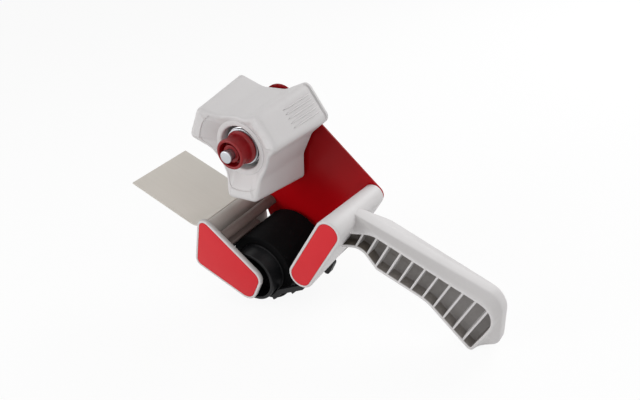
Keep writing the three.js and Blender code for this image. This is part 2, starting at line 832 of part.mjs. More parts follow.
// Front cheek: a flat shell round four corners, whose corners are shares of its size
const cheekCornerShares = [
  [-0.047, -0.095, 0.121],
  [0.066, 0.048, 0.103],
  [-0.441, 0.56, 0.078],
  [-0.61, 0.134, 0.069],
];
const cheekBelt = (extra) => cheekCornerShares.map(([x, z, radius]) => [
  rollerAxis.x + x * cheek.size,
  rollerAxis.z + z * cheek.size,
  radius * cheek.size + extra,
]);

function frontCheek() {
  const edge = cheek.insetThickness;
  const shell = loftRings([
    ringAt(beltOutline(cheekBelt(cheek.rim)), cheekInnerFace),
    ringAt(beltOutline(cheekBelt(cheek.rim)), cheek.outerFace + edge),
    ringAt(beltOutline(cheekBelt(cheek.rim - edge)), cheek.outerFace),
  ]);
  const boss = disc(
    rollerAxis, cheek.bossRadius, cheekInnerFace - edge, cheekInnerFace + cheek.bossHeight,
  );
  const insetHole = slab(
    beltOutline(cheekBelt(cheek.insetGap)),
    cheek.outerFace - cutOverrun,
    cheek.outerFace + cheek.insetThickness,
  );
  const axleHole = disc(
    rollerAxis, roller.axleRadius + fitGap,
    cheekInnerFace - cheek.axleDepth, cheekInnerFace + cheek.bossHeight + cutOverrun,
  );
  return toGeometry(cutAll(joinAll(toSolid(shell), [boss]), [insetHole, axleHole]));
}
addPiece('front_cheek', frontCheek(), lightPlastic);
addPiece('cheek_inset', slab(
  beltOutline(cheekBelt(0)), cheek.outerFace, cheek.outerFace + cheek.insetThickness - fitGap,
), redInset);

// Bars between the cheek and the plate
const barNear = cheekInnerFace + fitGap;
function upperBar() {
  const bar = slab(
    barOutline(front.upperBar, front.barWidth, front.barThickness, front.upperBar.angle),
    barNear, -fitGap,
  );
  const hole = disc(
    front.upperBar, screwHoleRadius, outerFace - screw.length - fitGap, cutOverrun,
  );
  return toGeometry(cutAll(toSolid(bar), [hole]));
}
addPiece('tape_bar_upper', upperBar(), flapPlastic);
addPiece('front_screw', panScrew(front.upperBar, outerFace + fitGap), brightSteel);
addPiece('tape_bar_lower', slab(
  barOutline(front.lowerBar, front.lowerBarWidth, front.lowerBarThickness, front.lowerBar.angle),
  barNear, front.lowerBarEnd,
), flapPlastic);

// Guide plate: a sheet that rises to a crest beside the flap's bend and falls behind the bars
function guidePlate() {
  const start = new THREE.Vector2(flap.bend.x + flap.thickness / 2 + fitGap, flap.bend.z);
  const crest = start.clone().add(new THREE.Vector2(front.guideReach, front.guideLift));
  const fall = start.clone().add(new THREE.Vector2(front.guideReach, -front.guideFall / 2));
  const end = start.clone().add(new THREE.Vector2(front.guideReach / 2, -front.guideFall));
  const path = new THREE.CubicBezierCurve(start, crest, fall, end).getPoints(2 * arcSteps);
  return slab(sheetOutline(path, -front.guideThickness), barNear, -fitGap);
}
addPiece('guide_plate', guidePlate(), flapPlastic);

// Wiper flap: a straight sheet whose inner end curls up to a round edge at the bend
function wiperFlap() {
  const half = flap.thickness / 2;
  const bend = new THREE.Vector2(flap.bend.x, flap.bend.z);
  const straightEnd = bend.clone().add(new THREE.Vector2(-flap.sagReach, -flap.sagDrop));
  const curl = bend.clone().add(new THREE.Vector2(-flap.curlReach, -flap.curlDrop));
  const tip = bend.clone().add(new THREE.Vector2(-flap.tipReach, flap.tipRise));
  const path = [tip, ...new THREE.QuadraticBezierCurve(straightEnd, curl, bend).getPoints(arcSteps)];
  const underside = path.map((point) => new THREE.Vector2(point.x, point.y - half));
  const sheet = toSolid(slab(sheetOutline(underside, flap.thickness), flap.nearEdge, flap.farEdge));
  const bead = disc(flap.bend, flap.thickness * flap.beadShare, flap.nearEdge, flap.farEdge);
  return toGeometry(joinAll(sheet, [bead]));
}
addPiece('wiper_flap', wiperFlap(), flapPlastic);

// Blade: a strip with teeth along its lower edge, drawn flat and then tilted into place.
// In the flat drawing x runs along the edge, y up the blade and z through to its underside.
const bladePlace = new THREE.Matrix4().makeBasis(
  new THREE.Vector3(0, 1, 0),
  new THREE.Vector3(Math.cos(blade.angle), 0, Math.sin(blade.angle)),
  new THREE.Vector3(Math.sin(blade.angle), 0, -Math.cos(blade.angle)),
).setPosition(blade.edge.x, blade.nearEnd, blade.edge.z);
const bladeLength = blade.farEnd - blade.nearEnd;
const bladeScrewPlaces = [blade.screwInset, bladeLength - blade.screwInset].map((x) => ({
  x, y: blade.width - blade.screwInset,
}));

const bladeHole = ({ x, y }, radius) => (
  new THREE.Path().absarc(x, y, radius, 0, 2 * Math.PI)
);

function cuttingBlade() {
  const teeth = Math.round(bladeLength / blade.toothPitch);
  const pitch = bladeLength / teeth;
  const points = [new THREE.Vector2(bladeLength, blade.width), new THREE.Vector2(0, blade.width)];
  for (let i = 0; i < teeth; i += 1) {
    points.push(new THREE.Vector2(i * pitch, blade.toothHeight));
    points.push(new THREE.Vector2((i + 0.5) * pitch, 0));
  }
  points.push(new THREE.Vector2(bladeLength, blade.toothHeight));
  const shape = new THREE.Shape(points);
  shape.holes = bladeScrewPlaces.map((place) => bladeHole(place, blade.screw.radius + fitGap));
  const strip = new THREE.ExtrudeGeometry(shape, {
    depth: blade.thickness, bevelEnabled: false, curveSegments: arcSteps,
  });
  return strip.applyMatrix4(bladePlace);
}
addPiece('cutting_blade', cuttingBlade(), darkSteel);

// Blade holder: a saddle under the grip's root with a bent tongue below the blade
function bladeHolder() {
  const foot = rootPoint(-root.nearHalfSpan);
  const radius = root.nearRadius + blade.holderGap;
  const onSaddle = (angle, distance) => (
    new THREE.Vector2(foot.x + distance * Math.cos(angle), foot.z + distance * Math.sin(angle))
  );
  const saddle = Array.from({ length: 2 * arcSteps + 1 }, (_, step) => {
    const share = step / (2 * arcSteps);
    return onSaddle(blade.saddleStart + (blade.saddleEnd - blade.saddleStart) * share, radius);
  });
  const lift = blade.thickness + fitGap;
  const underBlade = (height) => new THREE.Vector2(
    blade.edge.x + height * Math.cos(blade.angle) + lift * Math.sin(blade.angle),
    blade.edge.z + height * Math.sin(blade.angle) - lift * Math.cos(blade.angle),
  );
  const tongue = [
    underBlade(blade.toothHeight + blade.screwInset / 2),
    underBlade(blade.width),
    onSaddle(blade.tongueAngle, radius + blade.holderThickness / 2),
  ];
  const strap = slab(sheetOutline(saddle, blade.holderThickness), blade.armNear, blade.farEnd);
  const armRadius = roller.collarRadius + 2 * runningGap;
  const arm = Array.from({ length: arcSteps + 1 }, (_, step) => {
    const angle = blade.armStart + (blade.armEnd - blade.armStart) * step / arcSteps;
    return new THREE.Vector2(
      rollerAxis.x + armRadius * Math.cos(angle),
      rollerAxis.z + armRadius * Math.sin(angle),
    );
  });
  arm.push(underBlade(blade.width));
  const knee = underBlade(blade.width);
  const lug = beltOutline([
    [knee.x - blade.lugReach, knee.y - blade.lugDrop, blade.lugRadius],
    [knee.x + blade.lugReach, knee.y - blade.lugHang, blade.lugRadius],
  ]);
  const joined = joinAll(toSolid(strap), [
    slab(lug, blade.lugFar - blade.lugWidth, blade.lugFar),
    slab(sheetOutline(tongue, -blade.holderThickness), blade.armNear, blade.farEnd),
    slab(sheetOutline(arm, -blade.armWidth), blade.armNear, blade.nearEnd - fitGap),
  ]);
  const holes = bladeScrewPlaces.map(({ x, y }) => (
    turned([
      [0, -cutOverrun], [blade.screw.radius + fitGap, -cutOverrun],
      [blade.screw.radius + fitGap, blade.screw.length], [0, blade.screw.length],
    ], { x: 0, z: 0 }, arcSteps * 2).rotateX(Math.PI / 2).translate(x, y, 0).applyMatrix4(bladePlace)
  ));
  return toGeometry(cutAll(joined, holes));
}
addPiece('blade_holder', bladeHolder(), blackPlastic);
bladeScrewPlaces.forEach(({ x, y }, i) => {
  const body = panScrew({ x: 0, z: 0 }, fitGap, blade.screw).rotateX(-Math.PI / 2);
  addPiece(`blade_screw_${i + 1}`, body.translate(x, y, 0).applyMatrix4(bladePlace), brightSteel);
});

// The origin is on the floor below the middle of the object's box
const box = new THREE.Box3().setFromObject(assembly);
const middle = box.getCenter(new THREE.Vector3());
assembly.position.set(-middle.x, -middle.y, -box.min.z);
assembly.updateMatrixWorld(true);
export default assembly;
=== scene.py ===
import math

import bpy
import bmesh
import numpy as np
from mathutils import Matrix, Vector


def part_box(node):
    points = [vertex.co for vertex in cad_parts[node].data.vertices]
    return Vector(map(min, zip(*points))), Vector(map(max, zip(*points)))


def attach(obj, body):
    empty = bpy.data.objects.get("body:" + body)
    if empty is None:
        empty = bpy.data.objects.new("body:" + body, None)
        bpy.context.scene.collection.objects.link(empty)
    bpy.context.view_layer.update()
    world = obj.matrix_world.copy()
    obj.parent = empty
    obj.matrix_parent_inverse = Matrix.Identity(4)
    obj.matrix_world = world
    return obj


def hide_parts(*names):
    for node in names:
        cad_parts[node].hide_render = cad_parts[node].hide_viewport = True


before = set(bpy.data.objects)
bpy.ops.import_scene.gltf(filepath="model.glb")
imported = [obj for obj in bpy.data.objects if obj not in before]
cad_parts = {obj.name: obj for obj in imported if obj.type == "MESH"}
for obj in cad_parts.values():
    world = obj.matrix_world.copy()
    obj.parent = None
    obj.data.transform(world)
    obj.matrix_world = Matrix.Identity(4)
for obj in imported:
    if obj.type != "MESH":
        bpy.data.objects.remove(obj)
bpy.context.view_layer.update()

# Every shape below is worked out in millimetres: X from the wiper flap to the grip with 0 at the
# hub's axis, Y towards the side plate with 0 at its inner face, Z up from the floor. The near side
# is the open one, at the least Y. Angles in dictionaries are in degrees.
metre = 1000
hubAxis = np.array([0.0, 108.6])
rollerAxis = np.array([-7.5, 22.9])
rootCentre = np.array([49.2, 52.3])
boltLow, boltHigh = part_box("hub_bolt")
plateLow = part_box("side_plate")[0]
placeShift = np.array([
    metre / 2 * (boltLow.x + boltHigh.x) - hubAxis[0],
    metre * plateLow.y,
    metre / 2 * (boltLow.z + boltHigh.z) - hubAxis[1],
])


cameraView = {
    "place": (282.5, -332.18, 268.02),
    "right": (0.81976, 0.54878, -0.1638),
    "up": (-0.13148, 0.45872, 0.8788),
    "back": (0.55741, -0.69887, 0.4482),
    "focalPixels": 745, "pictureWidth": 640, "sensorWidth": 36, "clip": (0.01, 50),
}


def addObject(name, data):
    # A new object, linked to the scene
    made = bpy.data.objects.new(name, data)
    bpy.context.scene.collection.objects.link(made)
    return made


def makeCamera():
    # The view fitted to the photograph: three unit directions are the columns of its turn
    data = bpy.data.cameras.new("photoCamera")
    data.sensor_width = cameraView["sensorWidth"]
    data.lens = cameraView["sensorWidth"] * cameraView["focalPixels"] / cameraView["pictureWidth"]
    data.clip_start, data.clip_end = cameraView["clip"]
    camera = addObject("photoCamera", data)
    turn = Matrix([cameraView[axis] for axis in ("right", "up", "back")]).transposed()
    place = (np.array(cameraView["place"]) + placeShift) / metre
    camera.matrix_world = Matrix.Translation(place.tolist()) @ turn.to_4x4()
    bpy.context.scene.camera = camera


makeCamera()
print("camera set")


def plug(tree, slot, value):
    # A link into the slot, or its value if that is a plain number, vector or colour
    if isinstance(value, Field):
        tree.links.new(value.socket, slot)
    else:
        slot.default_value = value


def addNode(tree, kind, values=None, settings=None):
    # One node of any kind: its settings first, then what goes into each socket named or numbered
    made = tree.nodes.new(kind)
    for key, value in (settings or {}).items():
        setattr(made, key, value)
    for key, value in (values or {}).items():
        plug(tree, made.inputs[key], value)
    return made.outputs


# Shader maths: a socket wrapped so that plain expressions add Math nodes
class Field:
    def __init__(self, tree, socket):
        self.tree = tree
        self.socket = socket

    def maths(self, operation, first, second, clamp=False):
        # A Math node on two fields or numbers
        settings = {"operation": operation, "use_clamp": clamp}
        return Field(self.tree, addNode(self.tree, "ShaderNodeMath", {0: first, 1: second}, settings)[0])

    def __add__(self, other):
        return self.maths("ADD", self, other)

    def __sub__(self, other):
        return self.maths("SUBTRACT", self, other)

    def __rsub__(self, other):
        return self.maths("SUBTRACT", other, self)

    def __mul__(self, other):
        return self.maths("MULTIPLY", self, other)

    def __truediv__(self, other):
        return self.maths("DIVIDE", self, other)

    def __rtruediv__(self, other):
        return self.maths("DIVIDE", other, self)

    __radd__ = __add__
    __rmul__ = __mul__

    def limited(self):
        return self.maths("ADD", self, 0.0, clamp=True)  # held between 0 and 1


# One finish under way: its shader, and the place on the object that its patterns read
class Finish:
    def __init__(self, name, **fixed):
        self.material = bpy.data.materials.new(name)
        self.material.use_nodes = True
        self.tree = self.material.node_tree
        self.shader = self.tree.nodes["Principled BSDF"]
        for key, value in fixed.items():
            plug(self.tree, self.shader.inputs[key], value)
        self.place = self.node("ShaderNodeTexCoord", "Object")

    def node(self, kind, output, values=None, settings=None):
        return Field(self.tree, addNode(self.tree, kind, values, settings)[output])

    def noise(self, grain, detail=2.0, roughness=0.5, stretch=(1, 1, 1)):
        # Noise between 0 and 1 whose grain is in millimetres, times the stretch along each axis
        scale = tuple(metre / grain / s for s in stretch)
        place = self.node("ShaderNodeMapping", "Vector", {"Vector": self.place, "Scale": scale})
        values = {"Vector": place, "Scale": 1.0, "Detail": detail, "Roughness": roughness}
        return self.node("ShaderNodeTexNoise", "Fac", values)

    def colourMix(self, share, first, second):
        # A colour Mix node, whose colours are sockets 6 and 7 and whose result is output 2
        return self.node("ShaderNodeMix", 2, {0: share, 6: first, 7: second}, {"data_type": "RGBA"})

    def complete(self, colour, roughness, height, depth):
        # Colour and roughness plugged in, and a bump whose depth is in millimetres
        values = {"Height": height, "Distance": depth / metre, "Strength": 1.0}
        normal = self.node("ShaderNodeBump", "Normal", values)
        for name, value in (("Base Color", colour), ("Roughness", roughness), ("Normal", normal)):
            plug(self.tree, self.shader.inputs[name], value)
        return self.material


# Outlines are arrays of x and z, counterclockwise seen from the open side. A sharp corner still has
# the least rounding, and a rounded one that moves inward keeps a little more.
leastRounding = 1e-4
keptRounding = 0.05


def belt(circles, steps):
    # A belt round circles (x, z, radius): each circle keeps the arc between its two outer tangents
    centre = np.array([c[:2] for c in circles], float)
    radius = np.array([c[2] for c in circles], float)
    onward = np.roll(centre, -1, 0) - centre
    tangent = np.arctan2(onward[:, 1], onward[:, 0]) - np.pi / 2
    tangent += np.arcsin((radius - np.roll(radius, -1)) / np.hypot(*onward.T))
    start = np.roll(tangent, 1)
    return arcs(centre, radius, start, np.mod(tangent - start, 2 * np.pi), steps)


def arcs(centre, radius, start, turn, steps):
    # Each circle's points from its start angle over its turn, one circle after the other
    angle = start[:, None] + turn[:, None] * np.linspace(0, 1, steps + 1)
    spokes = np.stack([np.cos(angle), np.sin(angle)], -1) * radius[:, None, None]
    return (centre[:, None, :] + spokes).reshape(-1, 2)


def cornerFrames(corners):
    # Unit directions from each corner to the ones before and after it
    points = np.array([c[:2] for c in corners], float)
    before = np.roll(points, 1, 0) - points
    after = np.roll(points, -1, 0) - points
    return points, before / np.hypot(*before.T)[:, None], after / np.hypot(*after.T)[:, None]


def rounded(corners, steps):
    # A polygon of (x, z, radius): each corner becomes the arc of that radius that touches both sides
    points, before, after = cornerFrames(corners)
    radius = np.maximum(np.array([c[2] for c in corners], float), leastRounding)
    half = np.arccos(np.clip((before * after).sum(1), -1, 1)) / 2
    inward = before + after
    inward /= np.hypot(*inward.T)[:, None]
    centre = points + inward * (radius / np.sin(half))[:, None]
    reach = (radius / np.tan(half))[:, None]
    first, last = points + before * reach - centre, points + after * reach - centre
    start = np.arctan2(first[:, 1], first[:, 0])
    turn = np.mod(np.arctan2(last[:, 1], last[:, 0]) - start + np.pi, 2 * np.pi) - np.pi
    return arcs(centre, radius, start, turn, steps)


def movedIn(corners, wall):
    # The same corners with every side moved inward by the wall and the arcs kept concentric
    points, before, after = cornerFrames(corners)
    incoming, outgoing = -before, after
    convex = incoming[:, 0] * outgoing[:, 1] - incoming[:, 1] * outgoing[:, 0] > 0
    normal = np.stack([-incoming[:, 1] - outgoing[:, 1], incoming[:, 0] + outgoing[:, 0]], 1)
    moved = points + normal * (2 * wall / (normal ** 2).sum(1))[:, None]
    radius = np.array([c[2] for c in corners], float)
    radius = np.where(convex, np.maximum(radius - wall, keptRounding), radius + wall)
    return [tuple(row) for row in np.column_stack([moved, radius])]


def directions(degrees):
    # The unit direction at that angle, and the one a quarter turn on
    angle = math.radians(degrees)
    return np.array([math.cos(angle), math.sin(angle)]), np.array([-math.sin(angle), math.cos(angle)])


def at(outline, y):
    # A ring: the outline at one Y, or at a Y for each of its points
    return np.column_stack([outline[:, 0], np.broadcast_to(y, len(outline)), outline[:, 1]])


def shell(rings, joined=False):
    # A skin over rings of equal counts: point (i, j) is ring i's point j; ends are capped or joined
    grid = np.array(rings)
    count, around = grid.shape[:2]
    i, j = np.meshgrid(np.arange(count if joined else count - 1), np.arange(around), indexing="ij")
    near, far, nextJ = i * around, (i + 1) % count * around, (j + 1) % around
    quads = np.stack([near + j, near + nextJ, far + nextJ, far + j], -1).reshape(-1, 4)
    caps = [] if joined else [np.arange(around), np.arange(around) + (count - 1) * around]
    return grid.reshape(-1, 3), quads, caps


def turned(profile, axis, sides=96, steps=5):
    # A closed profile of (radius, y, rounding) swept once round an axis along Y
    section = rounded(profile, steps)
    angle = 2 * np.pi * np.arange(sides)[:, None] / sides
    radius, height = np.maximum(section[:, 0], 0), section[:, 1]
    rings = np.stack([
        axis[0] + radius * np.cos(angle), np.broadcast_to(height, (sides, len(section))),
        axis[1] + radius * np.sin(angle),
    ], -1)
    return shell(rings, joined=True)


def edgeSteps(size, steps=4):
    # Insets and drops along a quarter round of that size
    angle = np.linspace(0, np.pi / 2, steps + 1)
    return list(zip(size * (1 - np.cos(angle)), size * (1 - np.sin(angle))))


def edgeRings(outlineAt, face, away, size, steps=4):
    # A rounded edge from a side to a face at that Y; away is 1 if the side runs to greater Y, else -1
    return [at(outlineAt(inset), face + away * drop) for inset, drop in edgeSteps(size, steps)]


def pad(outlineAt, low, high, size, steps=4):
    # A plate between two planes of Y with rounded edges; outlineAt(inset) gives its outline
    rings = edgeRings(outlineAt, low, 1, size, steps)[::-1]
    return shell(rings + edgeRings(outlineAt, high, -1, size, steps))


# How meshes are cleaned, with the gap and the edge in metres, and how sharp an edge stays sharp
meshing = {
    "mergeGap": 2e-6, "thinEdge": 1e-6, "flatAngle": 1, "madeSharp": 32, "copySharp": 30,
    "bevelSegments": 2,
}


def makePiece(name, shells, finish, body, node, hollow=None):
    # The shells' points and faces, end to end, in one merged mesh; hollow gives each point's share
    # of painted shade, as an attribute that the finish reads
    faces, first = [], 0
    for points, quads, caps in shells:
        faces += (quads + first).tolist() + [(cap + first).tolist() for cap in caps]
        first += len(points)
    points = np.concatenate([points for points, _, _ in shells])
    mesh = bpy.data.meshes.new(name)
    mesh.from_pydata(((points + placeShift) / metre).tolist(), [], faces)
    if hollow is not None:
        depth = mesh.attributes.new("hollow", "FLOAT", "POINT")
        depth.data.foreach_set("value", np.concatenate(hollow).astype(np.float32))
    work = bmesh.new()
    work.from_mesh(mesh)
    bmesh.ops.remove_doubles(work, verts=work.verts, dist=meshing["mergeGap"])
    bmesh.ops.dissolve_degenerate(work, edges=work.edges, dist=meshing["thinEdge"])
    bmesh.ops.recalc_face_normals(work, faces=work.faces)
    work.to_mesh(mesh)
    work.free()
    finishPiece(name, mesh, finish, body, node, meshing["madeSharp"])


def finishPiece(name, mesh, finish, body, node, sharp):
    # Smooth but for edges over the sharp angle, in its finish, riding its body in its node's place
    mesh.shade_smooth()
    mesh.set_sharp_from_angle(angle=math.radians(sharp))
    mesh.materials.clear()
    mesh.materials.append(finish)
    piece = addObject(name, mesh)
    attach(piece, body)
    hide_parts(node)
    return piece


def refined(node, finish, body, bevel):
    # A merged copy of a CAD node with its flat faces joined and its sharp edges rounded
    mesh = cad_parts[node].data.copy()
    work = bmesh.new()
    work.from_mesh(mesh)
    bmesh.ops.remove_doubles(work, verts=work.verts, dist=meshing["mergeGap"])
    bmesh.ops.dissolve_limit(
        work, angle_limit=math.radians(meshing["flatAngle"]), verts=work.verts, edges=work.edges
    )
    work.to_mesh(mesh)
    work.free()
    piece = finishPiece(node + "Fine", mesh, finish, body, node, meshing["copySharp"])
    rounding = piece.modifiers.new("edges", "BEVEL")
    rounding.width, rounding.segments = bevel / metre, meshing["bevelSegments"]
    rounding.limit_method, rounding.angle_limit = "ANGLE", math.radians(meshing["copySharp"])
    rounding.harden_normals = True


def srgb(red, green, blue):
    # The scene's linear colour for a screen colour of 0 to 255, by the sRGB curve
    channel = np.array([red, green, blue]) / 255
    linear = np.where(channel <= 0.04045, channel / 12.92, ((channel + 0.055) / 1.055) ** 2.4)
    return (*linear.tolist(), 1.0)


# In the finishes, each noise lists its grain in millimetres, then its detail, roughness and stretch
# where they aren't the usual ones. A depth is the bump's, in millimetres.

# The hollow colour is painted shade, mixed in by each piece's hollow attribute
lightMoulding = {
    "colour": srgb(216, 214, 214), "shade": srgb(206, 203, 203), "hollow": srgb(100, 92, 84),
    "roughness": 0.42, "flow": (38, 3), "speck": (1.6, 4, 0.65), "spark": (0.55, 3, 0.6),
    "depth": 0.035, "scuff": (9, 6, 0.7, (1, 4, 1)), "scuffFrom": 0.58,
}


def makeLightPlastic():
    # Injection-moulded grey: a fine spark-eroded grain, slow flow shading, small scuffs, and painted
    # shade, a darker tone by the share that a piece's hollow attribute gives
    f, look = Finish("lightPlastic", IOR=1.48), lightMoulding
    speck = f.noise(*look["speck"])
    tone = (f.noise(*look["flow"]) * 0.8 + speck * 0.25).limited()
    unshaded = f.colourMix(tone, look["colour"], look["shade"])
    hollow = f.node("ShaderNodeAttribute", "Fac", settings={"attribute_name": "hollow"})
    # Painted shade: the hollow attribute's share, a little broken up by the speck
    paintedShade = (hollow * (speck * 0.3 + 0.75)).limited()
    scuff = ((f.noise(*look["scuff"]) - look["scuffFrom"]) * 3).limited()
    roughness = (speck * 0.12 + scuff * 0.14 + look["roughness"]).limited()
    colour = f.colourMix(paintedShade, unshaded, look["hollow"])
    return f.complete(colour, roughness, f.noise(*look["spark"]), look["depth"])


redEnamel = {
    "low": srgb(184, 8, 18), "high": srgb(134, 5, 11), "lowAt": 0.045, "highAt": 0.105,
    "roughness": 0.24, "cloud": (26, 2), "wave": (34, 1), "peel": (3.2, 2), "depth": 0.02,
}


def makeRedPaint():
    # Stoved enamel on sheet steel: a deep red under painted shade that darkens it upwards between two
    # heights, given in metres, with slight orange peel
    f, look = Finish("redPaint", **{"IOR": 1.5, "Specular IOR Level": 0.12}), redEnamel
    height = f.node("ShaderNodeSeparateXYZ", "Z", {"Vector": f.place})
    # Painted shade: the red grows darker with height
    rise = (height - look["lowAt"]) / (look["highAt"] - look["lowAt"])
    tone = (rise + f.noise(*look["cloud"]) * 0.3 - 0.15).limited()
    colour = f.colourMix(tone, look["low"], look["high"])
    wave = f.noise(*look["wave"]) * 6 + f.noise(*look["peel"])
    return f.complete(colour, look["roughness"], wave, look["depth"])


redFoil = {
    "colour": srgb(216, 42, 50), "shade": srgb(205, 32, 42), "roughness": 0.42, "cloud": (22, 2),
    "grain": (0.9, 3), "bump": (0.6, 2), "depth": 0.012,
}


def makeRedInset():
    # A satin red plate: slow clouds and a fine grain
    f, look = Finish("redInset", **{"IOR": 1.45, "Specular IOR Level": 0.3}), redFoil
    fine = f.noise(*look["grain"])
    tone = (f.noise(*look["cloud"]) * 0.8 + fine * 0.2).limited()
    colour, roughness = f.colourMix(tone, look["colour"], look["shade"]), fine * 0.15 + look["roughness"]
    return f.complete(colour, roughness, f.noise(*look["bump"]), look["depth"])


plainLooks = {
    "redPlastic": {
        "ior": 1.5, "shine": 0.36, "colour": srgb(142, 7, 16), "shade": srgb(128, 6, 14),
        "roughness": 0.24, "spread": 0.14, "cloud": (7, 3), "grain": (0.8, 3), "bump": (1.4, 2),
        "depth": 0.02,
    },
    "blackPlastic": {
        "ior": 1.47, "shine": 0.26, "colour": srgb(10, 10, 12), "shade": srgb(20, 20, 22),
        "roughness": 0.34, "spread": 0.2, "cloud": (10, 3), "grain": (0.6, 3), "bump": (0.6, 3),
        "depth": 0.03,
    },
    "fibre": {
        "ior": 1.45, "shine": 0.5, "colour": srgb(96, 62, 44), "shade": srgb(62, 38, 28),
        "roughness": 0.7, "spread": 0.2, "cloud": (0.7, 5, 0.7), "grain": (0.7, 5, 0.7),
        "bump": (0.7, 5, 0.7), "depth": 0.08,
    },
}


def makePlain(name, look):
    # The knob's glossy moulding, the black moulding and the pressed fibre: soft clouds of colour, a
    # roughness that spreads with a fine grain, and a bump
    f = Finish(name, **{"IOR": look["ior"], "Specular IOR Level": look["shine"]})
    colour = f.colourMix(f.noise(*look["cloud"]), look["colour"], look["shade"])
    roughness = f.noise(*look["grain"]) * look["spread"] + look["roughness"]
    return f.complete(colour, roughness, f.noise(*look["bump"]), look["depth"])


# The guide and the bars are darker copies of the flap's sheet plastic: painted shade for the shade they lie
# in
sheetLooks = {
    "flapPlastic": {"colour": srgb(208, 203, 195), "shade": srgb(196, 190, 182), "roughness": 0.4},
    "guidePlastic": {"colour": srgb(184, 178, 172), "shade": srgb(170, 163, 157), "roughness": 0.46},
    "barPlastic": {"colour": srgb(118, 105, 100), "shade": srgb(98, 86, 81), "roughness": 0.5},
}
sheetGrain = {"lines": (2.2, 4, 0.5, (18, 1, 18)), "cloud": (30, 2), "fine": (0.8, 2), "depth": 0.02}


def makeSheetPlastic(name, look):
    # Extruded sheet: warm grey, with long faint draw lines along its length
    f = Finish(name, IOR=1.47)
    lines = f.noise(*sheetGrain["lines"])
    tone = (f.noise(*sheetGrain["cloud"]) * 0.7 + lines * 0.4).limited()
    colour = f.colourMix(tone, look["colour"], look["shade"])
    height = lines * 0.6 + f.noise(*sheetGrain["fine"]) * 0.4
    return f.complete(colour, lines * 0.16 + look["roughness"], height, sheetGrain["depth"])


rubber = {
    "colour": srgb(9, 9, 10), "dust": srgb(30, 29, 29), "roughness": 0.62, "grain": (0.5, 5, 0.7),
    "dustCloud": (6, 5, 0.7), "dustFrom": 0.56, "rings": (0.9, 2, 0.5, (20, 1, 20)), "depth": 0.06,
}


def makeRubber():
    # Matt black rubber with a ground surface and a little pale dust
    f, look = Finish("blackRubber", **{"IOR": 1.4, "Specular IOR Level": 0.1}), rubber
    grain = f.noise(*look["grain"])
    dust = ((f.noise(*look["dustCloud"]) - look["dustFrom"]) * 4).limited()
    colour = f.colourMix(dust * 0.35, look["colour"], look["dust"])
    height = grain * 0.7 + f.noise(*look["rings"]) * 0.5
    return f.complete(colour, grain * 0.2 + look["roughness"], height, look["depth"])


# Each metal's lighter and darker colour, its roughness and the grain of its drawn lines
metalLooks = {
    "brightSteel": (srgb(206, 208, 212), srgb(176, 179, 184), 0.22, 0.8),
    "darkSteel": (srgb(62, 64, 68), srgb(34, 35, 38), 0.3, 0.8),
    "chromeWire": (srgb(232, 234, 237), srgb(214, 216, 220), 0.06, 2),
    "brassMetal": (srgb(196, 160, 96), srgb(166, 130, 72), 0.24, 0.8),
}
metalGrain = {"stretch": (1, 1, 14), "cloud": (5, 4), "depth": 0.012}


def makeMetal(name, light, dark, roughness, grain):
    # Plated, blackened or plain metal with fine drawn lines
    f = Finish(name, Metallic=1.0)
    lines, cloud = f.noise(grain, 3, stretch=metalGrain["stretch"]), f.noise(*metalGrain["cloud"])
    colour = f.colourMix((cloud * 0.7 + lines * 0.3).limited(), light, dark)
    return f.complete(colour, lines * 0.18 + cloud * 0.1 + roughness, lines, metalGrain["depth"])


lightPlastic = makeLightPlastic()
redPaint = makeRedPaint()
redInset = makeRedInset()
redPlastic, blackPlastic, fibre = (makePlain(*item) for item in plainLooks.items())
flapPlastic, guidePlastic, barPlastic = (makeSheetPlastic(*item) for item in sheetLooks.items())
blackRubber = makeRubber()
brightSteel, darkSteel, chromeWire, brassMetal = (
    makeMetal(name, *look) for name, look in metalLooks.items()
)
print("finishes made")


# The plate's border is how far it stands out past the root block's far side; below 0 it lies inside
plate = {
    "thickness": 1.6, "edge": 0.5, "headRadius": 13.2, "headShift": (1.2, 10.3), "axleRadius": 17.5,
    "frontCentre": (-22.4, 50.1), "frontRadius": 8.0, "border": -0.6, "arcSteps": 28,
}
root = {
    "angle": 52.5, "nearFace": -55.0, "nearSpan": 20.6, "nearRadius": 8.3, "farSpan": 16.6,
    "farRadius": 6.6, "edge": 1.0, "plateGap": 0.3, "plateEdge": 0.4, "rim": 1.8, "arcSteps": 28,
    "levelShares": (0.25, 0.5, 0.75),
}
# The red insets: the gap round each, the well's depth, and how deep each plate's two faces lie
redInsets = {"gap": 0.15, "depth": 0.6, "wellEdge": 0.2, "sunk": 0.02, "back": 0.4, "edge": 0.12}


def rootCircles(span, radius):
    # The two circles of the root block's outline, a span to each side of its centre
    reach = directions(root["angle"])[0] * span
    return [(*(rootCentre - reach), radius), (*(rootCentre + reach), radius)]


def plateOutline(inset):
    # A belt round the roller's axle, the root block, the head above the hub and the upper bar
    head = hubAxis + plate["headShift"]
    return belt([
        (*rollerAxis, plate["axleRadius"] - inset),
        *rootCircles(root["farSpan"], root["farRadius"] + plate["border"] - inset),
        (*head, plate["headRadius"] - inset),
        (*plate["frontCentre"], plate["frontRadius"] - inset),
    ], plate["arcSteps"])


makePiece("sidePlate", [pad(plateOutline, 0, plate["thickness"], plate["edge"])],
          redPaint, "frame", "side_plate")


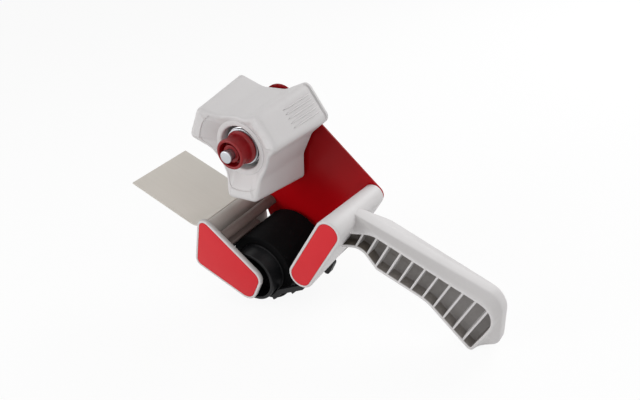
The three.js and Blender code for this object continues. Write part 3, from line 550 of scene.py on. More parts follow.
grip = {
    # Its moulding: heights are from its middle plane, and rounds are steps of (inset, rise)
    "reach": 100, "middle": -31, "rim": 9.1, "ridge": 3.0, "wall": 1.5, "lipRound": 0.3,
    "pocketDepth": 7.4, "footSteps": ((0.7, 0), (0.2, 0.2), (0, 0.7)), "arcSteps": 12,
    "flareShares": (0.1, 0.3, 0.5, 0.7, 0.88), "ridgeRound": ((0.97, 0.02), (1, -0.08)),
    # Shares of painted shade in its hollows and near flank, and the lengths over which they rise and fade
    "wallShade": 0.9, "floorLess": 0.3, "rootMore": 0.4, "flareShade": 0.34, "flareFade": 0.002,
    "lipSlack": 0.05, "shadeRise": 0.5, "shadeDepth": 1.0, "rootReach": 30, "flareRise": 0.6,
    "ridgeRise": 0.8,
    # Its ribs: each step is (inset, fall below the rim)
    "ribThickness": 1.2, "ribCount": 11, "ribPitch": 7.76, "ribAngle": 55.5, "rowAngle": -32.6,
    "firstRib": (22.4, 5.9), "ribOverrun": 0.5, "ribDraft": 0.25, "ribSink": 0.3,
    "ribSteps": ((-0.04, 1.2), (0, 0.45), (0.12, 0.2), (0.3, 0.12)), "leastTurn": 1e-9,
}
rimShares = [
    (0.01, -0.02, 0.01), (0.223, 0.009, 0.09), (0.307, -0.117, 0.03), (0.603, -0.263, 0.25),
    (0.844, -0.537, 0.025), (0.944, -0.401, 0.12), (1.047, -0.248, 0.12), (0.313, 0.124, 0.16),
    (0.078, 0.096, 0.01),
]
ridgeShares = rimShares[:4] + [
    (0.85, -0.529, 0.03), (0.99, -0.487, 0.07), (1.035, -0.186, 0.12), (0.17, 0.196, 0.01),
    (0.1, 0.175, 0.01),
]


def gripCorners(shares):
    # Corners (x, z, rounding) as shares of the grip's reach from the root's centre
    table = np.array(shares) * grip["reach"]
    table[:, :2] += rootCentre
    return [tuple(row) for row in table]


def gripRing(inset):
    # The grip's rim outline with its sides moved in
    return rounded(movedIn(gripCorners(rimShares), inset), grip["arcSteps"])


def gripShell():
    # One pocket's floor, up its wall, over the lip, along the flared side to the ridge, and the
    # same back down the other side. On the flared side, share s blends the rim with the ridge.
    rim, ridge = gripRing(0), rounded(gripCorners(ridgeShares), grip["arcSteps"])
    wall, lip, flare = grip["wall"], grip["lipRound"], grip["rim"] - grip["ridge"]
    floor, shadeTop = grip["rim"] - grip["pocketDepth"], grip["pocketDepth"] - grip["shadeDepth"]
    foot = [*grip["footSteps"], (0, shadeTop), (0, shadeTop + grip["shadeRise"])]
    half = [(gripRing(wall + inset), floor + rise) for inset, rise in foot]
    half += [(gripRing(wall - inset), grip["rim"] - drop) for inset, drop in edgeSteps(lip, 3)]
    half += [(gripRing(inset), grip["rim"] - drop) for inset, drop in reversed(edgeSteps(lip, 3))]
    half += [(rim + (ridge - rim) * s, grip["rim"] - flare * s) for s in grip["flareShares"]]
    half += [(rim + (ridge - rim) * s, grip["ridge"] + flare * rise) for s, rise in grip["ridgeRound"]]
    rings = [at(outline, grip["middle"] - height) for outline, height in half]
    rings += [at(outline, grip["middle"] + height) for outline, height in reversed(half)]
    return shell(rings)


def gripPaintedShade(shells):
    # Painted shade, inside the pocket's outline by the crossing rule: 0 at the lips, full on the walls,
    # less on the floor, more near the root. Outside it: a little on the near flared side, least at the tip.
    pocket = gripRing(grip["wall"] - grip["lipSlack"])
    ahead = np.roll(pocket, -1, 0)
    rise = grip["shadeRise"]
    made = []
    for points, _, _ in shells:
        x, z = points[:, :1], points[:, 2:]
        spans = (pocket[:, 1] > z) != (ahead[:, 1] > z)
        run = np.where(ahead[:, 1] == pocket[:, 1], 1, ahead[:, 1] - pocket[:, 1])
        cross = pocket[:, 0] + (z - pocket[:, 1]) * (ahead[:, 0] - pocket[:, 0]) / run
        inside = (spans & (x < cross)).sum(1) % 2 == 1
        away = np.hypot(*(points[:, ::2] - rootCentre).T)
        height = np.abs(points[:, 1] - grip["middle"])
        below = grip["rim"] - grip["lipRound"] - height
        floor = np.clip((below - grip["pocketDepth"] + grip["shadeDepth"]) / rise, 0, 1)
        full = grip["wallShade"] - grip["floorLess"] * floor
        full += grip["rootMore"] * np.exp(-(away / grip["rootReach"]) ** 4)
        flare = np.clip(below / grip["flareRise"], 0, 1)
        flare *= np.clip((height - grip["ridge"]) / grip["ridgeRise"], 0, 1)
        flare *= points[:, 1] < grip["middle"]
        flare *= grip["flareShade"] - grip["flareFade"] * away
        made.append(np.where(inside, np.clip(below / rise, 0, 1) * full, flare))
    return made


def ribShells():
    # Each rib is a slab along a line across the pocket, from wall to wall, a little thicker at its
    # foot; its ends are where the line meets the pocket's outline
    pocket = gripRing(grip["wall"])
    along, across = directions(grip["ribAngle"])
    onward = np.roll(pocket, -1, 0) - pocket
    over, foot = grip["ribOverrun"], (-grip["ribDraft"], grip["pocketDepth"] + grip["ribSink"])
    made = []
    for i in range(grip["ribCount"]):
        row = directions(grip["rowAngle"])[0] * grip["ribPitch"] * i
        middle = rootCentre + grip["firstRib"] + row
        side = (pocket - middle) @ across
        turn = onward @ across
        crosses = np.abs(turn) > grip["leastTurn"]
        share = np.divide(-side, turn, out=np.full(len(side), -1.0), where=crosses)
        cut = ((pocket - middle) @ along + share * (onward @ along))[(share >= 0) & (share < 1)]
        start = middle + along * (cut[cut < 0].max() - over)
        end = middle + along * (cut[cut > 0].min() + over)
        for face in (-1, 1):
            rings = []
            for inset, fall in (foot, *grip["ribSteps"]):
                half = across * (grip["ribThickness"] / 2 - inset)
                corners = np.array([start + half, start - half, end - half, end + half])
                rings.append(at(corners, grip["middle"] + face * (grip["rim"] - fall)))
            made.append(shell(rings))
    return made


def rootOutline(share, inset=0.0):
    # A belt whose spans and radii blend evenly: share 0 is the plate's side and 1 the near face
    span = root["farSpan"] + (root["nearSpan"] - root["farSpan"]) * share
    radius = root["farRadius"] + (root["nearRadius"] - root["farRadius"]) * share
    return belt(rootCircles(span, radius - inset), root["arcSteps"])


def faceWithWell(outlineAt, face, edge, rim):
    # A rounded edge, a flat rim, and the shallow well with a rounded edge that a red inset lies in
    margin = rim - redInsets["gap"]
    rings = edgeRings(outlineAt, face, 1, edge)
    rings += edgeRings(lambda inset: outlineAt(margin - inset), face, 1, redInsets["wellEdge"], 2)[::-1]
    return rings + [at(outlineAt(margin), face + redInsets["depth"])]


def insetPad(outlineAt, face):
    # The red plate in its well, its open side just behind the rim
    return pad(outlineAt, face + redInsets["sunk"], face + redInsets["back"], redInsets["edge"])


def rootBlock():
    # A rounded edge by the plate, evenly blended rings, and the near face with its well
    far, near = -root["plateGap"], root["nearFace"]
    rings = edgeRings(lambda inset: rootOutline(0, inset), far, -1, root["plateEdge"])[::-1]
    rings += [at(rootOutline(s), far + (near - far) * s) for s in root["levelShares"]]
    return shell(rings + faceWithWell(lambda inset: rootOutline(1, inset), near, root["edge"], root["rim"]))


ribbedShells, rootShell = [gripShell(), *ribShells()], rootBlock()
makePiece("gripMoulding", [*ribbedShells, rootShell], lightPlastic, "frame", "handle",
          [*gripPaintedShade(ribbedShells), np.zeros(len(rootShell[0]))])
makePiece("gripInset", [insetPad(lambda inset: rootOutline(1, root["rim"] + inset), root["nearFace"])],
          redInset, "frame", "handle_inset")
print("plate and grip made")


hub = {
    # Each end's Y, then its tip and base corners as (distance, degrees off the lobe, rounding)
    "near": {"face": -49.0, "tip": (33.4, 19.5, 4.2), "base": (22.0, 35, 9)},
    "far": {"face": -2.6, "tip": (39.2, 18.5, 4.6), "base": (24.0, 39, 12)},
    "lobeAngle": 27, "arcSteps": 14, "sideSteps": 8, "wall": 2.4, "rimRound": 0.5,
    "waist": 19.9, "waistFace": -42.4, "tipShort": 1.4, "riseExponent": 0.7,
    # The notch across the tips as (y, share of its depth), its spread and fade in radians
    "notch": 1.3, "notchSteps": ((-4.2, 0), (-4.5, 1), (-5.6, 1), (-6.0, 0)),
    "tipSpread": 0.3, "tipFade": 0.06,
    # The side, the nose and the face
    "sideShares": (0.05, 0.2, 0.4, 0.6, 0.8, 0.93),
    "lobeNose": 2.6, "waistNose": 1.1, "noseStretch": 1.15, "noseRings": 9,
    "creaseRadius": 25.4, "creaseIn": 0.6, "bandSlope": 0.12, "bandExponent": 1.5,
    "bandShares": (0.2, 0.5, 0.8, 0.96), "grooveDepth": 0.9, "flankGroove": 0.3, "grooveLip": 0.12,
    "grooveShares": (0.993, 0.975), "grooveFall": 1.03,
    "dishShares": (0.06, 0.25, 0.45, 0.65, 0.85, 1.0), "collarRadius": 17.2, "collarDrop": 0.5,
    "collarRound": ((0.25, 0.08), (0.7, 0)), "eyeRadius": 13.6, "eyeFace": -42.6, "eyeLip": 1.2,
    # The recess, the bore and the far pocket
    "recess": -31.4, "recessRound": 0.5, "bore": 5.6, "sleeve": 9.0, "sleeveEnd": -5.4, "floor": 2.4,
    "cupRise": 1.5, "pocketNose": 0.9, "pocketLobe": 1.5, "pocketDraft": 0.25,
    # The ridges on the tips and the webs in the pocket
    "ribCount": 5, "ribPitch": 2.9, "ribHalf": 0.65, "ribRise": 0.8, "ribStart": -6.6,
    "ribLength": 24.0, "ribSteps": 15, "ribSides": 16,
    "webStart": 7.8, "webHalf": 1, "webGap": 1.2, "webShort": 2, "webSink": 0.2,
}


def hubOutline(end, inset=0.0):
    # Per lobe two tip corners and two hollow corners at its base, all rounded, with points spread
    # evenly along the straight sides between them
    (tip, tipOff, tipRound), (base, baseOff, baseRound) = end["tip"], end["base"]
    corners = []
    for lobe in range(3):
        for distance, off, rounding in (
            (base, -baseOff, baseRound), (tip, -tipOff, tipRound),
            (tip, tipOff, tipRound), (base, baseOff, baseRound),
        ):
            x, z = hubAxis + directions(hub["lobeAngle"] + 120 * lobe + off)[0] * distance
            corners.append((x, z, rounding))
    bends = rounded(movedIn(corners, inset), hub["arcSteps"]).reshape(len(corners), -1, 2)
    share = np.linspace(0, 1, hub["sideSteps"], endpoint=False)[1:, None]
    sides = bends[:, -1:] * (1 - share) + np.roll(bends, -1, 0)[:, :1] * share
    return np.concatenate([bends, sides], 1).reshape(-1, 2)


hubFar, hubNear = hubOutline(hub["far"]), hubOutline(hub["near"])


def bearing(outline):
    # Each point's angle round the hub's axis
    return np.arctan2(outline[:, 1] - hubAxis[1], outline[:, 0] - hubAxis[0])


def lobeShare(outline):
    # 0 at the middles of the flanks and 1 at the lobes, from the distance to the axis
    distance = np.hypot(*(outline - hubAxis).T)
    reach = hub["near"]["tip"][0] - hub["tipShort"] - hub["waist"]
    return np.clip((distance - hub["waist"]) / reach, 0, 1)


def tipMask(outline):
    # 1 on the lobes' tips and 0 on the flanks, from the angle to the nearest lobe's middle
    away = bearing(outline) - math.radians(hub["lobeAngle"])
    away = np.abs(np.mod(away + np.pi / 3, 2 * np.pi / 3) - np.pi / 3)
    return np.clip((hub["tipSpread"] + hub["tipFade"] - away) / hub["tipFade"], 0, 1)


def hubSide(y):
    # The tapered side at Y: each point's even blend of the far outline and the near one
    near, far = hub["near"]["face"], hub["far"]["face"]
    share = (np.broadcast_to(y, len(hubNear)) - far) / (near - far)
    return hubFar + (hubNear - hubFar) * share[:, None]


def hubCircle(radius):
    # A circle round the axis, each point in the direction of the near outline's point
    angle = bearing(hubNear)
    return hubAxis + np.stack([np.cos(angle), np.sin(angle)], 1) * radius


def hubOutside(rimY, nose, inward):
    # The far rim, a notch across the tips, the tapered side, and the nose: a quarter ellipse, nose
    # wide and stretched along Y
    far, high = hub["far"], nose * hub["noseStretch"]
    rings = edgeRings(lambda inset: hubOutline(far, inset), far["face"], -1, hub["rimRound"], 3)[::-1]
    cut = tipMask(hubFar)[:, None] * hub["notch"]
    for y, depth in hub["notchSteps"]:
        outward = hubSide(y) - hubAxis
        outward /= np.hypot(*outward.T)[:, None]
        rings.append(at(hubSide(y) - outward * cut * depth, y))
    start, end = hub["notchSteps"][-1][0], rimY + high
    for share in hub["sideShares"]:
        y = start + (end - start) * share
        rings.append(at(hubSide(y), y))
    for turn in np.linspace(0, np.pi / 2, hub["noseRings"]):
        y = rimY + high * (1 - np.sin(turn))
        rings.append(at(hubSide(y) + inward * (nose * (1 - np.cos(turn)))[:, None], y))
    return rings


def hubFace(rimY, nose, inward, lobe):
    # Inward from the nose: a sloping band as far as the crease, a groove that is deepest on the
    # lobes, and the dish, which runs straight to the collar
    edge = hubSide(rimY) + inward * nose[:, None]
    inside = edge + inward * hub["creaseIn"] - hubAxis
    reach = np.hypot(*inside.T)[:, None]
    crease = hubAxis + inside * np.minimum(1, hub["creaseRadius"] / reach)
    slope = hub["bandSlope"] * np.hypot(*(crease - edge).T)
    rings = []
    for share in hub["bandShares"]:
        rings.append(at(edge + (crease - edge) * share, rimY + slope * share ** hub["bandExponent"]))
    groove = slope + hub["grooveDepth"] * (hub["flankGroove"] + (1 - hub["flankGroove"]) * lobe)
    wall, foot = (hubAxis + (crease - hubAxis) * share for share in hub["grooveShares"])
    rings.append(at(crease, rimY + slope + hub["grooveLip"]))
    rings.append(at(wall, rimY + groove))
    rings.append(at(foot, rimY + groove * hub["grooveFall"]))
    collar, collarY = hubCircle(hub["collarRadius"]), hub["eyeFace"] + hub["collarDrop"]
    for share in hub["dishShares"]:
        y = rimY + groove + (collarY - rimY - groove) * share
        rings.append(at(foot + (collar - foot) * share, y))
    return rings


def hubEye():
    # Circles as (radius, y): the collar's round, the eye's lip and recess, the bore, and the sleeve
    # and cup that stand in the far pocket
    eye, recess, face, bevel = hub["eyeRadius"], hub["recess"], hub["eyeFace"], hub["recessRound"]
    floor, cup = recess + hub["floor"], eye + hub["wall"]
    circles = [(hub["collarRadius"] - inset, face + drop) for inset, drop in hub["collarRound"]]
    circles += [(eye + inset, face + drop) for inset, drop in reversed(edgeSteps(hub["eyeLip"], 5))]
    circles += [
        (eye, recess - bevel), (eye - bevel, recess), (hub["bore"], recess),
        (hub["bore"], hub["sleeveEnd"]), (hub["sleeve"], hub["sleeveEnd"]), (hub["sleeve"], floor),
        (cup, floor), (cup, face + hub["floor"] + hub["cupRise"]),
    ]
    return [at(hubCircle(radius), y) for radius, y in circles]


def hubShell():
    # Outside, face, eye and far pocket as one closed run of rings. The rim's Y and the nose follow
    # the lobes' share: long and round on the lobes, set back on the flanks.
    near, far, lobe = hub["near"], hub["far"], lobeShare(hubNear)
    inward = hubOutline(near, 1.0) - hubNear
    rimY = hub["waistFace"] + (near["face"] - hub["waistFace"]) * lobe ** hub["riseExponent"]
    nose = hub["waistNose"] + (hub["lobeNose"] - hub["waistNose"]) * lobe
    pocketY = rimY + hub["floor"] + nose * hub["pocketNose"] + hub["pocketLobe"] * lobe
    pocket = hubSide(pocketY) + inward * (hub["wall"] + nose * hub["pocketDraft"])[:, None]
    return shell([
        *hubOutside(rimY, nose, inward), *hubFace(rimY, nose, inward, lobe), *hubEye(),
        at(pocket, pocketY), at(hubOutline(far, hub["wall"]), far["face"]),
    ], joined=True)


def hubRibs():
    # Low ridges along the far part of each lobe's tip: an elliptic section, half of it sunk, whose
    # size swells from nothing at both ends as the fourth root of a parabola
    near, far = hub["near"], hub["far"]
    nearTip, farTip = (end["tip"][0] * math.cos(math.radians(end["tip"][1])) for end in (near, far))
    v = np.linspace(0, 1, hub["ribSteps"])
    y = hub["ribStart"] - hub["ribLength"] * v
    flat = farTip + (nearTip - farTip) * (y - far["face"]) / (near["face"] - far["face"])
    swell = np.clip(1 - (2 * v - 1) ** 2, 0, 1) ** 0.25
    around = np.linspace(0, 2 * np.pi, hub["ribSides"], endpoint=False)
    made = []
    for lobe in range(3):
        outward, sideways = directions(hub["lobeAngle"] + 120 * lobe)
        for i in range(hub["ribCount"]):
            offset = (i - (hub["ribCount"] - 1) / 2) * hub["ribPitch"]
            height = flat[:, None] + hub["ribRise"] * np.sin(around) * swell[:, None]
            width = offset + hub["ribHalf"] * np.cos(around) * swell[:, None]
            xz = hubAxis + height[..., None] * outward + width[..., None] * sideways
            made.append(shell(np.stack([
                xz[..., 0], np.broadcast_to(y[:, None], height.shape), xz[..., 1],
            ], -1)))
    return made


def hubWebs():
    # Six flat webs inside the far pocket, from the sleeve to the lobes' tips and to the flanks
    depth = (hub["recess"] + hub["floor"] - hub["webSink"], hub["sleeveEnd"])
    start, half = hub["webStart"], hub["webHalf"]
    made = []
    for i in range(6):
        end = (hub["waist"] if i % 2 else hub["near"]["tip"][0] - hub["webShort"]) - hub["webGap"]
        outward, sideways = directions(hub["lobeAngle"] + 60 * i)
        corners = [hubAxis + outward * r + sideways * w
                   for r, w in ((start, -half), (end, -half), (end, half), (start, half))]
        made.append(shell([at(np.array(corners), y) for y in depth]))
    return made


makePiece("hubMoulding", [hubShell(), *hubRibs(), *hubWebs()],
          lightPlastic, "hub_wheel", "hub")
print("hub made")


# Turned profiles below list (radius, y, rounding).

bolt = {
    "radius": 3.0, "end": -55.6, "headBase": 1.9, "headRadius": 6.5, "headHeight": 3.2,
    "domeShare": 0.55, "capRadius": 3.8, "capLength": 2.8,
}
spring = {
    "wire": 1.2, "radius": 10.2, "flare": 1.2, "turns": 2.5, "far": -33.4, "length": 5.6,
    "flatShare": 0.08, "easeShare": 0.15, "steps": 181, "sides": 16,
}
knob = {
    "face": -52.0, "rim": 9.4, "waist": 8.7, "waistBack": 2.2, "wall": 1.9, "cup": 6.0, "boss": 5.5,
    "bossDraft": 0.2, "bossFace": -50.6, "flange": 10.4, "flangeFar": -40.4, "flangeWidth": 0.9,
    "bore": 3.3,
}
washers = {
    "pressure": {"bore": 3.3, "radius": 12.4, "near": -33.1, "far": -31.7},
    "slip": {"bore": 3.3, "radius": 11.2, "near": -40.1, "far": -39.3},
    "friction": {"bore": 3.3, "radius": 9.0, "near": -5.1, "far": -4.2},
}


def hubBolt():
    # A plain shank under a domed head, with a swaged cap at the open side
    r, head, base, end = bolt["radius"], bolt["headRadius"], bolt["headBase"], bolt["end"]
    cap, capBase, crown = bolt["capRadius"], end + bolt["capLength"], base + bolt["headHeight"]
    return turned([
        (0, end, 0), (cap, end, 0.5), (cap, capBase, 0.3), (r, capBase, 0), (r, base, 0), (head, base, 0.1),
        (head, base + bolt["headHeight"] * bolt["domeShare"], 1.0), (head * bolt["domeShare"], crown, 2.0),
        (0, crown, 0),
    ], hubAxis)


def knobShell():
    # A cup with a boss in it, its outside waisted above a thin flange, bored through
    floor, inner, rear = knob["face"] + knob["cup"], knob["rim"] - knob["wall"], knob["flangeFar"]
    return turned([
        (knob["bore"], knob["bossFace"], 0.2), (knob["boss"], knob["bossFace"], 0.6),
        (knob["boss"] + knob["bossDraft"], floor, 0.5), (inner, floor, 0.6), (inner, knob["face"], 0.5),
        (knob["rim"], knob["face"], 0.7), (knob["waist"], rear - knob["waistBack"], 2.0),
        (knob["flange"], rear - knob["flangeWidth"], 0.3), (knob["flange"], rear, 0.3),
        (knob["bore"], rear, 0.1),
    ], hubAxis, steps=6)


def springShell():
    # A tube along a helix that widens a little towards the knob; it advances almost evenly, with a
    # smooth-step share, and its first and last parts lie flat
    v = np.linspace(0, 1, spring["steps"])
    angle = 2 * np.pi * spring["turns"] * v
    climb = np.clip((v - spring["flatShare"]) / (1 - 2 * spring["flatShare"]), 0, 1)
    ease = spring["easeShare"]
    climb = climb * (1 - ease) + ease * climb ** 2 * (3 - 2 * climb)
    wire = spring["wire"] / 2
    y = spring["far"] - wire - (spring["length"] - spring["wire"]) * climb
    around = np.linspace(0, 2 * np.pi, spring["sides"], endpoint=False)
    radius = spring["radius"] + spring["flare"] * v[:, None] + wire * np.cos(around)
    return shell(np.stack([
        hubAxis[0] + np.cos(angle)[:, None] * radius, y[:, None] + wire * np.sin(around)[None, :],
        hubAxis[1] + np.sin(angle)[:, None] * radius,
    ], -1))


def washerShell(sizes, axis=hubAxis, rounding=0.15):
    # A flat ring with rounded edges, swept round the axis
    inner, outer, near, far = (sizes[key] for key in ("bore", "radius", "near", "far"))
    corners = ((inner, near), (outer, near), (outer, far), (inner, far))
    return turned([(*corner, rounding) for corner in corners], axis, steps=3)


makePiece("hubBoltTurned", [hubBolt()], brightSteel, "frame", "hub_bolt")
makePiece("pressureWasherTurned", [washerShell(washers["pressure"])],
          darkSteel, "frame", "pressure_washer")
makePiece("brakeSpringCoil", [springShell()], chromeWire, "frame", "brake_spring")
makePiece("slipWasherTurned", [washerShell(washers["slip"])],
          brightSteel, "brake_slide", "slip_washer")
makePiece("tensionKnobMoulding", [knobShell()], redPlastic, "brake_knob", "tension_knob")
makePiece("frictionWasherPressed", [washerShell(washers["friction"])],
          fibre, "frame", "friction_washer")
print("brake made")


roller = {
    "radius": 22.9, "near": -40.0, "far": -2.4, "wall": 5.4, "coreGap": 0.3, "tube": 2.2,
    "webWidth": 3, "collar": 16.8, "collarWall": 2.2, "collarEnd": -51.0, "coreNear": -40.3,
    "boss": 7.4, "bore": 4.9, "bossEnd": -48.8, "sleeveSides": 160, "coreSides": 128,
}
axle = {
    "radius": 3, "end": -53.99, "headBase": 1.9, "headRadius": 5.2, "headEdge": 3.2, "crown": 4.1,
    "crownRadius": 2.8,
}


def sleeveShell():
    # A thick tube with rounded edges
    outer, near, far = roller["radius"], roller["near"], roller["far"]
    core = outer - roller["wall"]
    return turned([(core, near, 0.3), (outer, near, 0.9), (outer, far, 0.9), (core, far, 0.3)],
                  rollerAxis, roller["sleeveSides"])


def coreShell():
    # A bored boss, a web across, an open collar on the near side and an open tube on the far side
    core, boss = roller["radius"] - roller["wall"] - roller["coreGap"], roller["boss"]
    bore, end, collar = roller["bore"], roller["bossEnd"], roller["collar"]
    mouth, tube = collar - roller["collarWall"], core - roller["tube"]
    near, far, web = roller["near"], roller["far"], roller["near"] + roller["webWidth"]
    return turned([
        (bore, end, 0.2), (boss, end, 0.4), (boss, near, 0.4), (mouth, near, 0.6),
        (mouth, roller["collarEnd"], 0.4), (collar, roller["collarEnd"], 0.6),
        (collar, roller["coreNear"], 0.3), (core, roller["coreNear"], 0.2), (core, far, 0.2),
        (tube, far, 0.2), (tube, web, 0.5), (boss, web, 0.5), (boss, far, 0.2), (bore, far, 0.1),
    ], rollerAxis, roller["coreSides"])


def axleShell():
    # A plain pin with a low domed head behind the plate
    r, head, end, base = axle["radius"], axle["headRadius"], axle["end"], axle["headBase"]
    return turned([
        (0, end, 0), (r, end, 0.3), (r, base, 0), (head, base, 0.1), (head, axle["headEdge"], 0.8),
        (axle["crownRadius"], axle["crown"], 1.2), (0, axle["crown"], 0),
    ], rollerAxis)


makePiece("rollerSleeveMoulded", [sleeveShell()],
          blackRubber, "roller_drum", "roller_sleeve")
makePiece("rollerCoreMoulded", [coreShell()],
          blackPlastic, "roller_drum", "roller_core")
makePiece("rollerAxleTurned", [axleShell()], brightSteel, "frame", "roller_axle")


cheek = {
    "size": 58, "outer": -55.5, "thickness": 3.1, "rim": 1.6, "edge": 0.4, "innerEdge": 0.5,
    "arcSteps": 20, "edgeShade": 0.6, "shadeFrom": 0.5, "shadeRise": 0.5,
    "boss": {"bore": 3.3, "radius": 6, "near": -52.6, "far": -51.5}, "bossRound": 0.2,
}
cheekShares = [
    (-0.047, -0.095, 0.121), (0.066, 0.048, 0.103), (-0.441, 0.56, 0.078), (-0.61, 0.134, 0.069),
]


def cheekOutline(inset):
    # A belt round four circles, shares of the cheek's size from the axle; inset 0 is the red plate's
    size = cheek["size"]
    return belt([(rollerAxis[0] + x * size, rollerAxis[1] + z * size, r * size - inset)
                 for x, z, r in cheekShares], cheek["arcSteps"])


def cheekShell():
    # The inner face's rounded edge, then the outer face with its rim and well
    outer, rim = cheek["outer"], cheek["rim"]

    def outlineAt(inset):
        return cheekOutline(inset - rim)

    rings = edgeRings(outlineAt, outer + cheek["thickness"], -1, cheek["innerEdge"])[::-1]
    return shell(rings + faceWithWell(outlineAt, outer, cheek["edge"], rim))


def edgeShade(shells):
    # Painted shade: the cheek's edge is greyer than its face, a share that rises from there inward
    start, rise = cheek["outer"] + cheek["shadeFrom"], cheek["shadeRise"]
    return [np.clip((points[:, 1] - start) / rise, 0, 1) * cheek["edgeShade"] for points, _, _ in shells]


cheekShells = [cheekShell(), washerShell(cheek["boss"], rollerAxis, cheek["bossRound"])]
makePiece("frontCheekMoulding", cheekShells,
          lightPlastic, "frame", "front_cheek", edgeShade(cheekShells))
makePiece("cheekInsetPlate", [insetPad(cheekOutline, cheek["outer"])],
          redInset, "frame", "cheek_inset")
print("roller and cheek made")


# The flap's sag, curl and tip, and the guide's steps, are (x, z) from where each sheet starts.
flap = {
    "bend": (-36.0, 58.2), "tip": (-57.3, 19.8), "sag": (-13.0, -2.2), "curl": (-6.4, -5.6),
    "thickness": 1.0, "near": -52.0, "far": -0.4, "straightPoints": 20, "curlPoints": 24,
}
guide = {
    "start": (0.8, 0), "steps": [(6, 1.6), (6.6, -12), (5, -25.2)], "thickness": 1.2, "points": 40,
}
sheet = {"edge": 0.2, "edgeSteps": 3, "endPoints": 9}
bars = {
    "near": -52.1, "far": -0.3, "edge": 0.25, "arcSteps": 16,
    "upper": {"centre": plate["frontCentre"], "width": 7, "thickness": 5, "angle": 139, "far": -0.3},
    "lower": {"centre": (-23.4, 43.3), "width": 6, "thickness": 2.4, "angle": 152, "far": -18},
}


def bezier(points, steps):
    # Bernstein sums of the control points at even parameters
    t = np.linspace(0, 1, steps)[:, None]
    points = [np.array(p, float) for p in points]
    order = len(points) - 1
    return sum(math.comb(order, k) * (1 - t) ** (order - k) * t ** k * p for k, p in enumerate(points))


def pathFrame(path):
    # Unit directions along a path, by differences, and to its left
    ahead = np.gradient(path, axis=0)
    ahead /= np.hypot(*ahead.T)[:, None]
    return ahead, np.column_stack([-ahead[:, 1], ahead[:, 0]])


def sheetOutline(path, half):
    # Both faces of a bent sheet half a thickness to each side of its middle line, with round ends
    ahead, aside = pathFrame(path)
    arc = np.linspace(0, np.pi, sheet["endPoints"])[1:-1]

    def cap(end, forward, left):
        return end + half * (np.cos(arc)[:, None] * left + np.sin(arc)[:, None] * forward)

    left, right = path + aside * half, path - aside * half
    return np.concatenate([
        right, cap(path[-1], ahead[-1], -aside[-1]), left[::-1], cap(path[0], -ahead[0], aside[0]),
    ])


def sheetShell(path, thickness, near, far):
    # The sheet's outline carried along Y, with rounded edges
    return pad(lambda inset: sheetOutline(path, thickness / 2 - inset), near, far,
               sheet["edge"], sheet["edgeSteps"])


def flapPath():
    # A straight run from the tip, then a quadratic curl up to the bend
    bend = np.array(flap["bend"])
    curl = bezier([bend + flap["sag"], bend + flap["curl"], bend], flap["curlPoints"])
    tip = bend + flap["tip"]
    straight = tip + (curl[0] - tip) * np.linspace(0, 1, flap["straightPoints"])[:-1, None]
    return np.concatenate([straight, curl])


def guidePath():
    # A cubic over the crest; the middle of the sheet lies half its thickness inside it
    start = np.array(flap["bend"]) + guide["start"]
    path = bezier([start, *(start + np.array(guide["steps"]))], guide["points"])
    return path - pathFrame(path)[1] * guide["thickness"] / 2


def barShell(bar):
    # A flat bar with round edges, tilted by its angle: a belt round two circles
    half = bar["thickness"] / 2
    reach = directions(bar["angle"])[0] * (bar["width"] - bar["thickness"]) / 2
    ends = [np.array(bar["centre"]) - reach, np.array(bar["centre"]) + reach]
    return pad(lambda inset: belt([(*end, half - inset) for end in ends], bars["arcSteps"]),
               bars["near"], bar["far"], bars["edge"])


makePiece("wiperFlapSheet", [sheetShell(flapPath(), flap["thickness"], flap["near"], flap["far"])],
          flapPlastic, "flap_sheet", "wiper_flap")
makePiece("guidePlateSheet", [sheetShell(guidePath(), guide["thickness"], bars["near"], bars["far"])],
          guidePlastic, "frame", "guide_plate")
makePiece("upperBarMoulding", [barShell(bars["upper"])],
          barPlastic, "frame", "tape_bar_upper")
makePiece("lowerBarMoulding", [barShell(bars["lower"])],
          barPlastic, "frame", "tape_bar_lower")
print("flap and bars made")


# Finish, body, slot and bevel of the pieces that are refined copies of the CAD
smallPieces = [
    (darkSteel, "frame", "dark_steel", 0.06, ["cutting_blade"]),
    (blackPlastic, "frame", "black_plastic", 0.2, ["blade_holder"]),
    (brightSteel, "frame", "bright_steel", 0.12, [
        "blade_screw_1", "blade_screw_2", "bolt_lock_nut", "axle_retaining_nut", "handle_screw_1",
        "handle_screw_2", "front_screw",
    ]),
    (brassMetal, "brake_knob", "brass", 0.12, ["knob_nut"]),
    (brassMetal, "hub_wheel", "brass", 0.12, ["hub_bush"]),
    (brassMetal, "roller_drum", "brass", 0.12, ["roller_bush_near", "roller_bush_far"]),
]
for finish, body, slot, bevel, nodes in smallPieces:
    for node in nodes:
        refined(node, finish, body, bevel)
print("small pieces refined")


# Places and sizes in metres; each lamp has its place and its watts
studio = {
    "worldGrey": 0.36, "lampSize": 0.5, "aim": (0, 0, 0.06),
    "floorHalf": 3, "floorHeight": -0.0006, "floorGrey": 0.9, "floorShare": 0.92,
    "lamps": {
        "leftLamp": ((-0.45, -0.7, 0.45), 2.4), "lowLamp": ((-0.7, -0.6, 0.15), 1.0),
        "rightLamp": ((0.7, -0.6, 0.2), 0.8), "highLamp": ((0.55, -0.25, 0.75), 1.7),
        "backLamp": ((0.2, 0.7, 0.5), 3.6),
    },
}


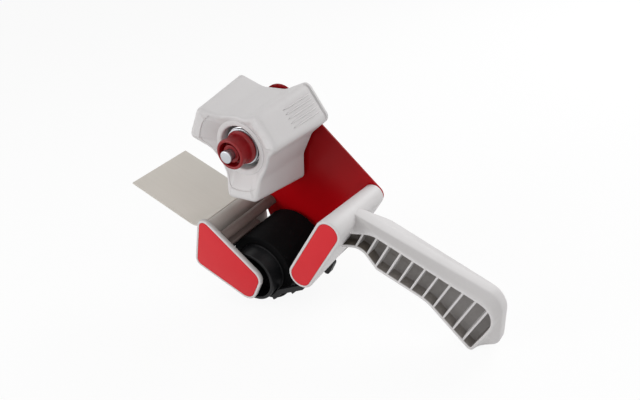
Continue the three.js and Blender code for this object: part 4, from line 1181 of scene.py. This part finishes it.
def seenDirectly(tree):
    # 1 for rays from the camera and for those that metal or glass sends on, else 0
    outputs = addNode(tree, "ShaderNodeLightPath")
    camera, glossy, transmission = (
        Field(tree, outputs[kind]) for kind in ("Is Camera Ray", "Is Glossy Ray", "Is Transmission Ray")
    )
    return (camera + glossy + transmission).limited()


def makeFloor():
    # A square of pale paper, most of whose look is white light where it is seen directly, so that
    # it is as white as the background and keeps a faint shadow
    half, grey = studio["floorHalf"], studio["floorGrey"]
    f = Finish("floorPaper", **{"Roughness": 0.9, "Base Color": (grey, grey, grey, 1)})
    share = seenDirectly(f.tree) * studio["floorShare"]
    glow = f.node("ShaderNodeEmission", "Emission", {"Color": (1, 1, 1, 1), "Strength": 1.0})
    paper = Field(f.tree, f.shader.outputs[0])
    blend = f.node("ShaderNodeMixShader", 0, {0: share, 1: paper, 2: glow})
    plug(f.tree, f.tree.nodes["Material Output"].inputs["Surface"], blend)
    mesh = bpy.data.meshes.new("floor")
    corners = [(x, y, studio["floorHeight"])
               for x, y in ((-half, -half), (half, -half), (half, half), (-half, half))]
    mesh.from_pydata(corners, [], [(0, 1, 2, 3)])
    mesh.materials.append(f.material)
    floor = addObject("floor", mesh)


def makeLamp(name, place, watts):
    # A square lamp whose face points at the aim
    data = bpy.data.lights.new(name, "AREA")
    data.shape, data.size, data.energy = "SQUARE", studio["lampSize"], watts
    lamp = addObject(name, data)
    lamp.location = place
    direction = np.array(studio["aim"]) - np.array(place)
    lamp.rotation_euler = Vector(direction.tolist()).to_track_quat("-Z", "Y").to_euler()


def makeWorld():
    # White where it is seen directly, and a grey share of that as light on the object
    world = bpy.data.worlds.new("studio")
    bpy.context.scene.world = world
    world.use_nodes = True
    tree, grey = world.node_tree, studio["worldGrey"]
    background = tree.nodes["Background"]
    plug(tree, background.inputs["Color"], (1, 1, 1, 1))
    plug(tree, background.inputs["Strength"], seenDirectly(tree) * (1 - grey) + grey)


makeWorld()
makeFloor()
for name, (place, watts) in studio["lamps"].items():
    makeLamp(name, place, watts)
bpy.context.scene.view_settings.view_transform = "Standard"
print("stage and lamps set")
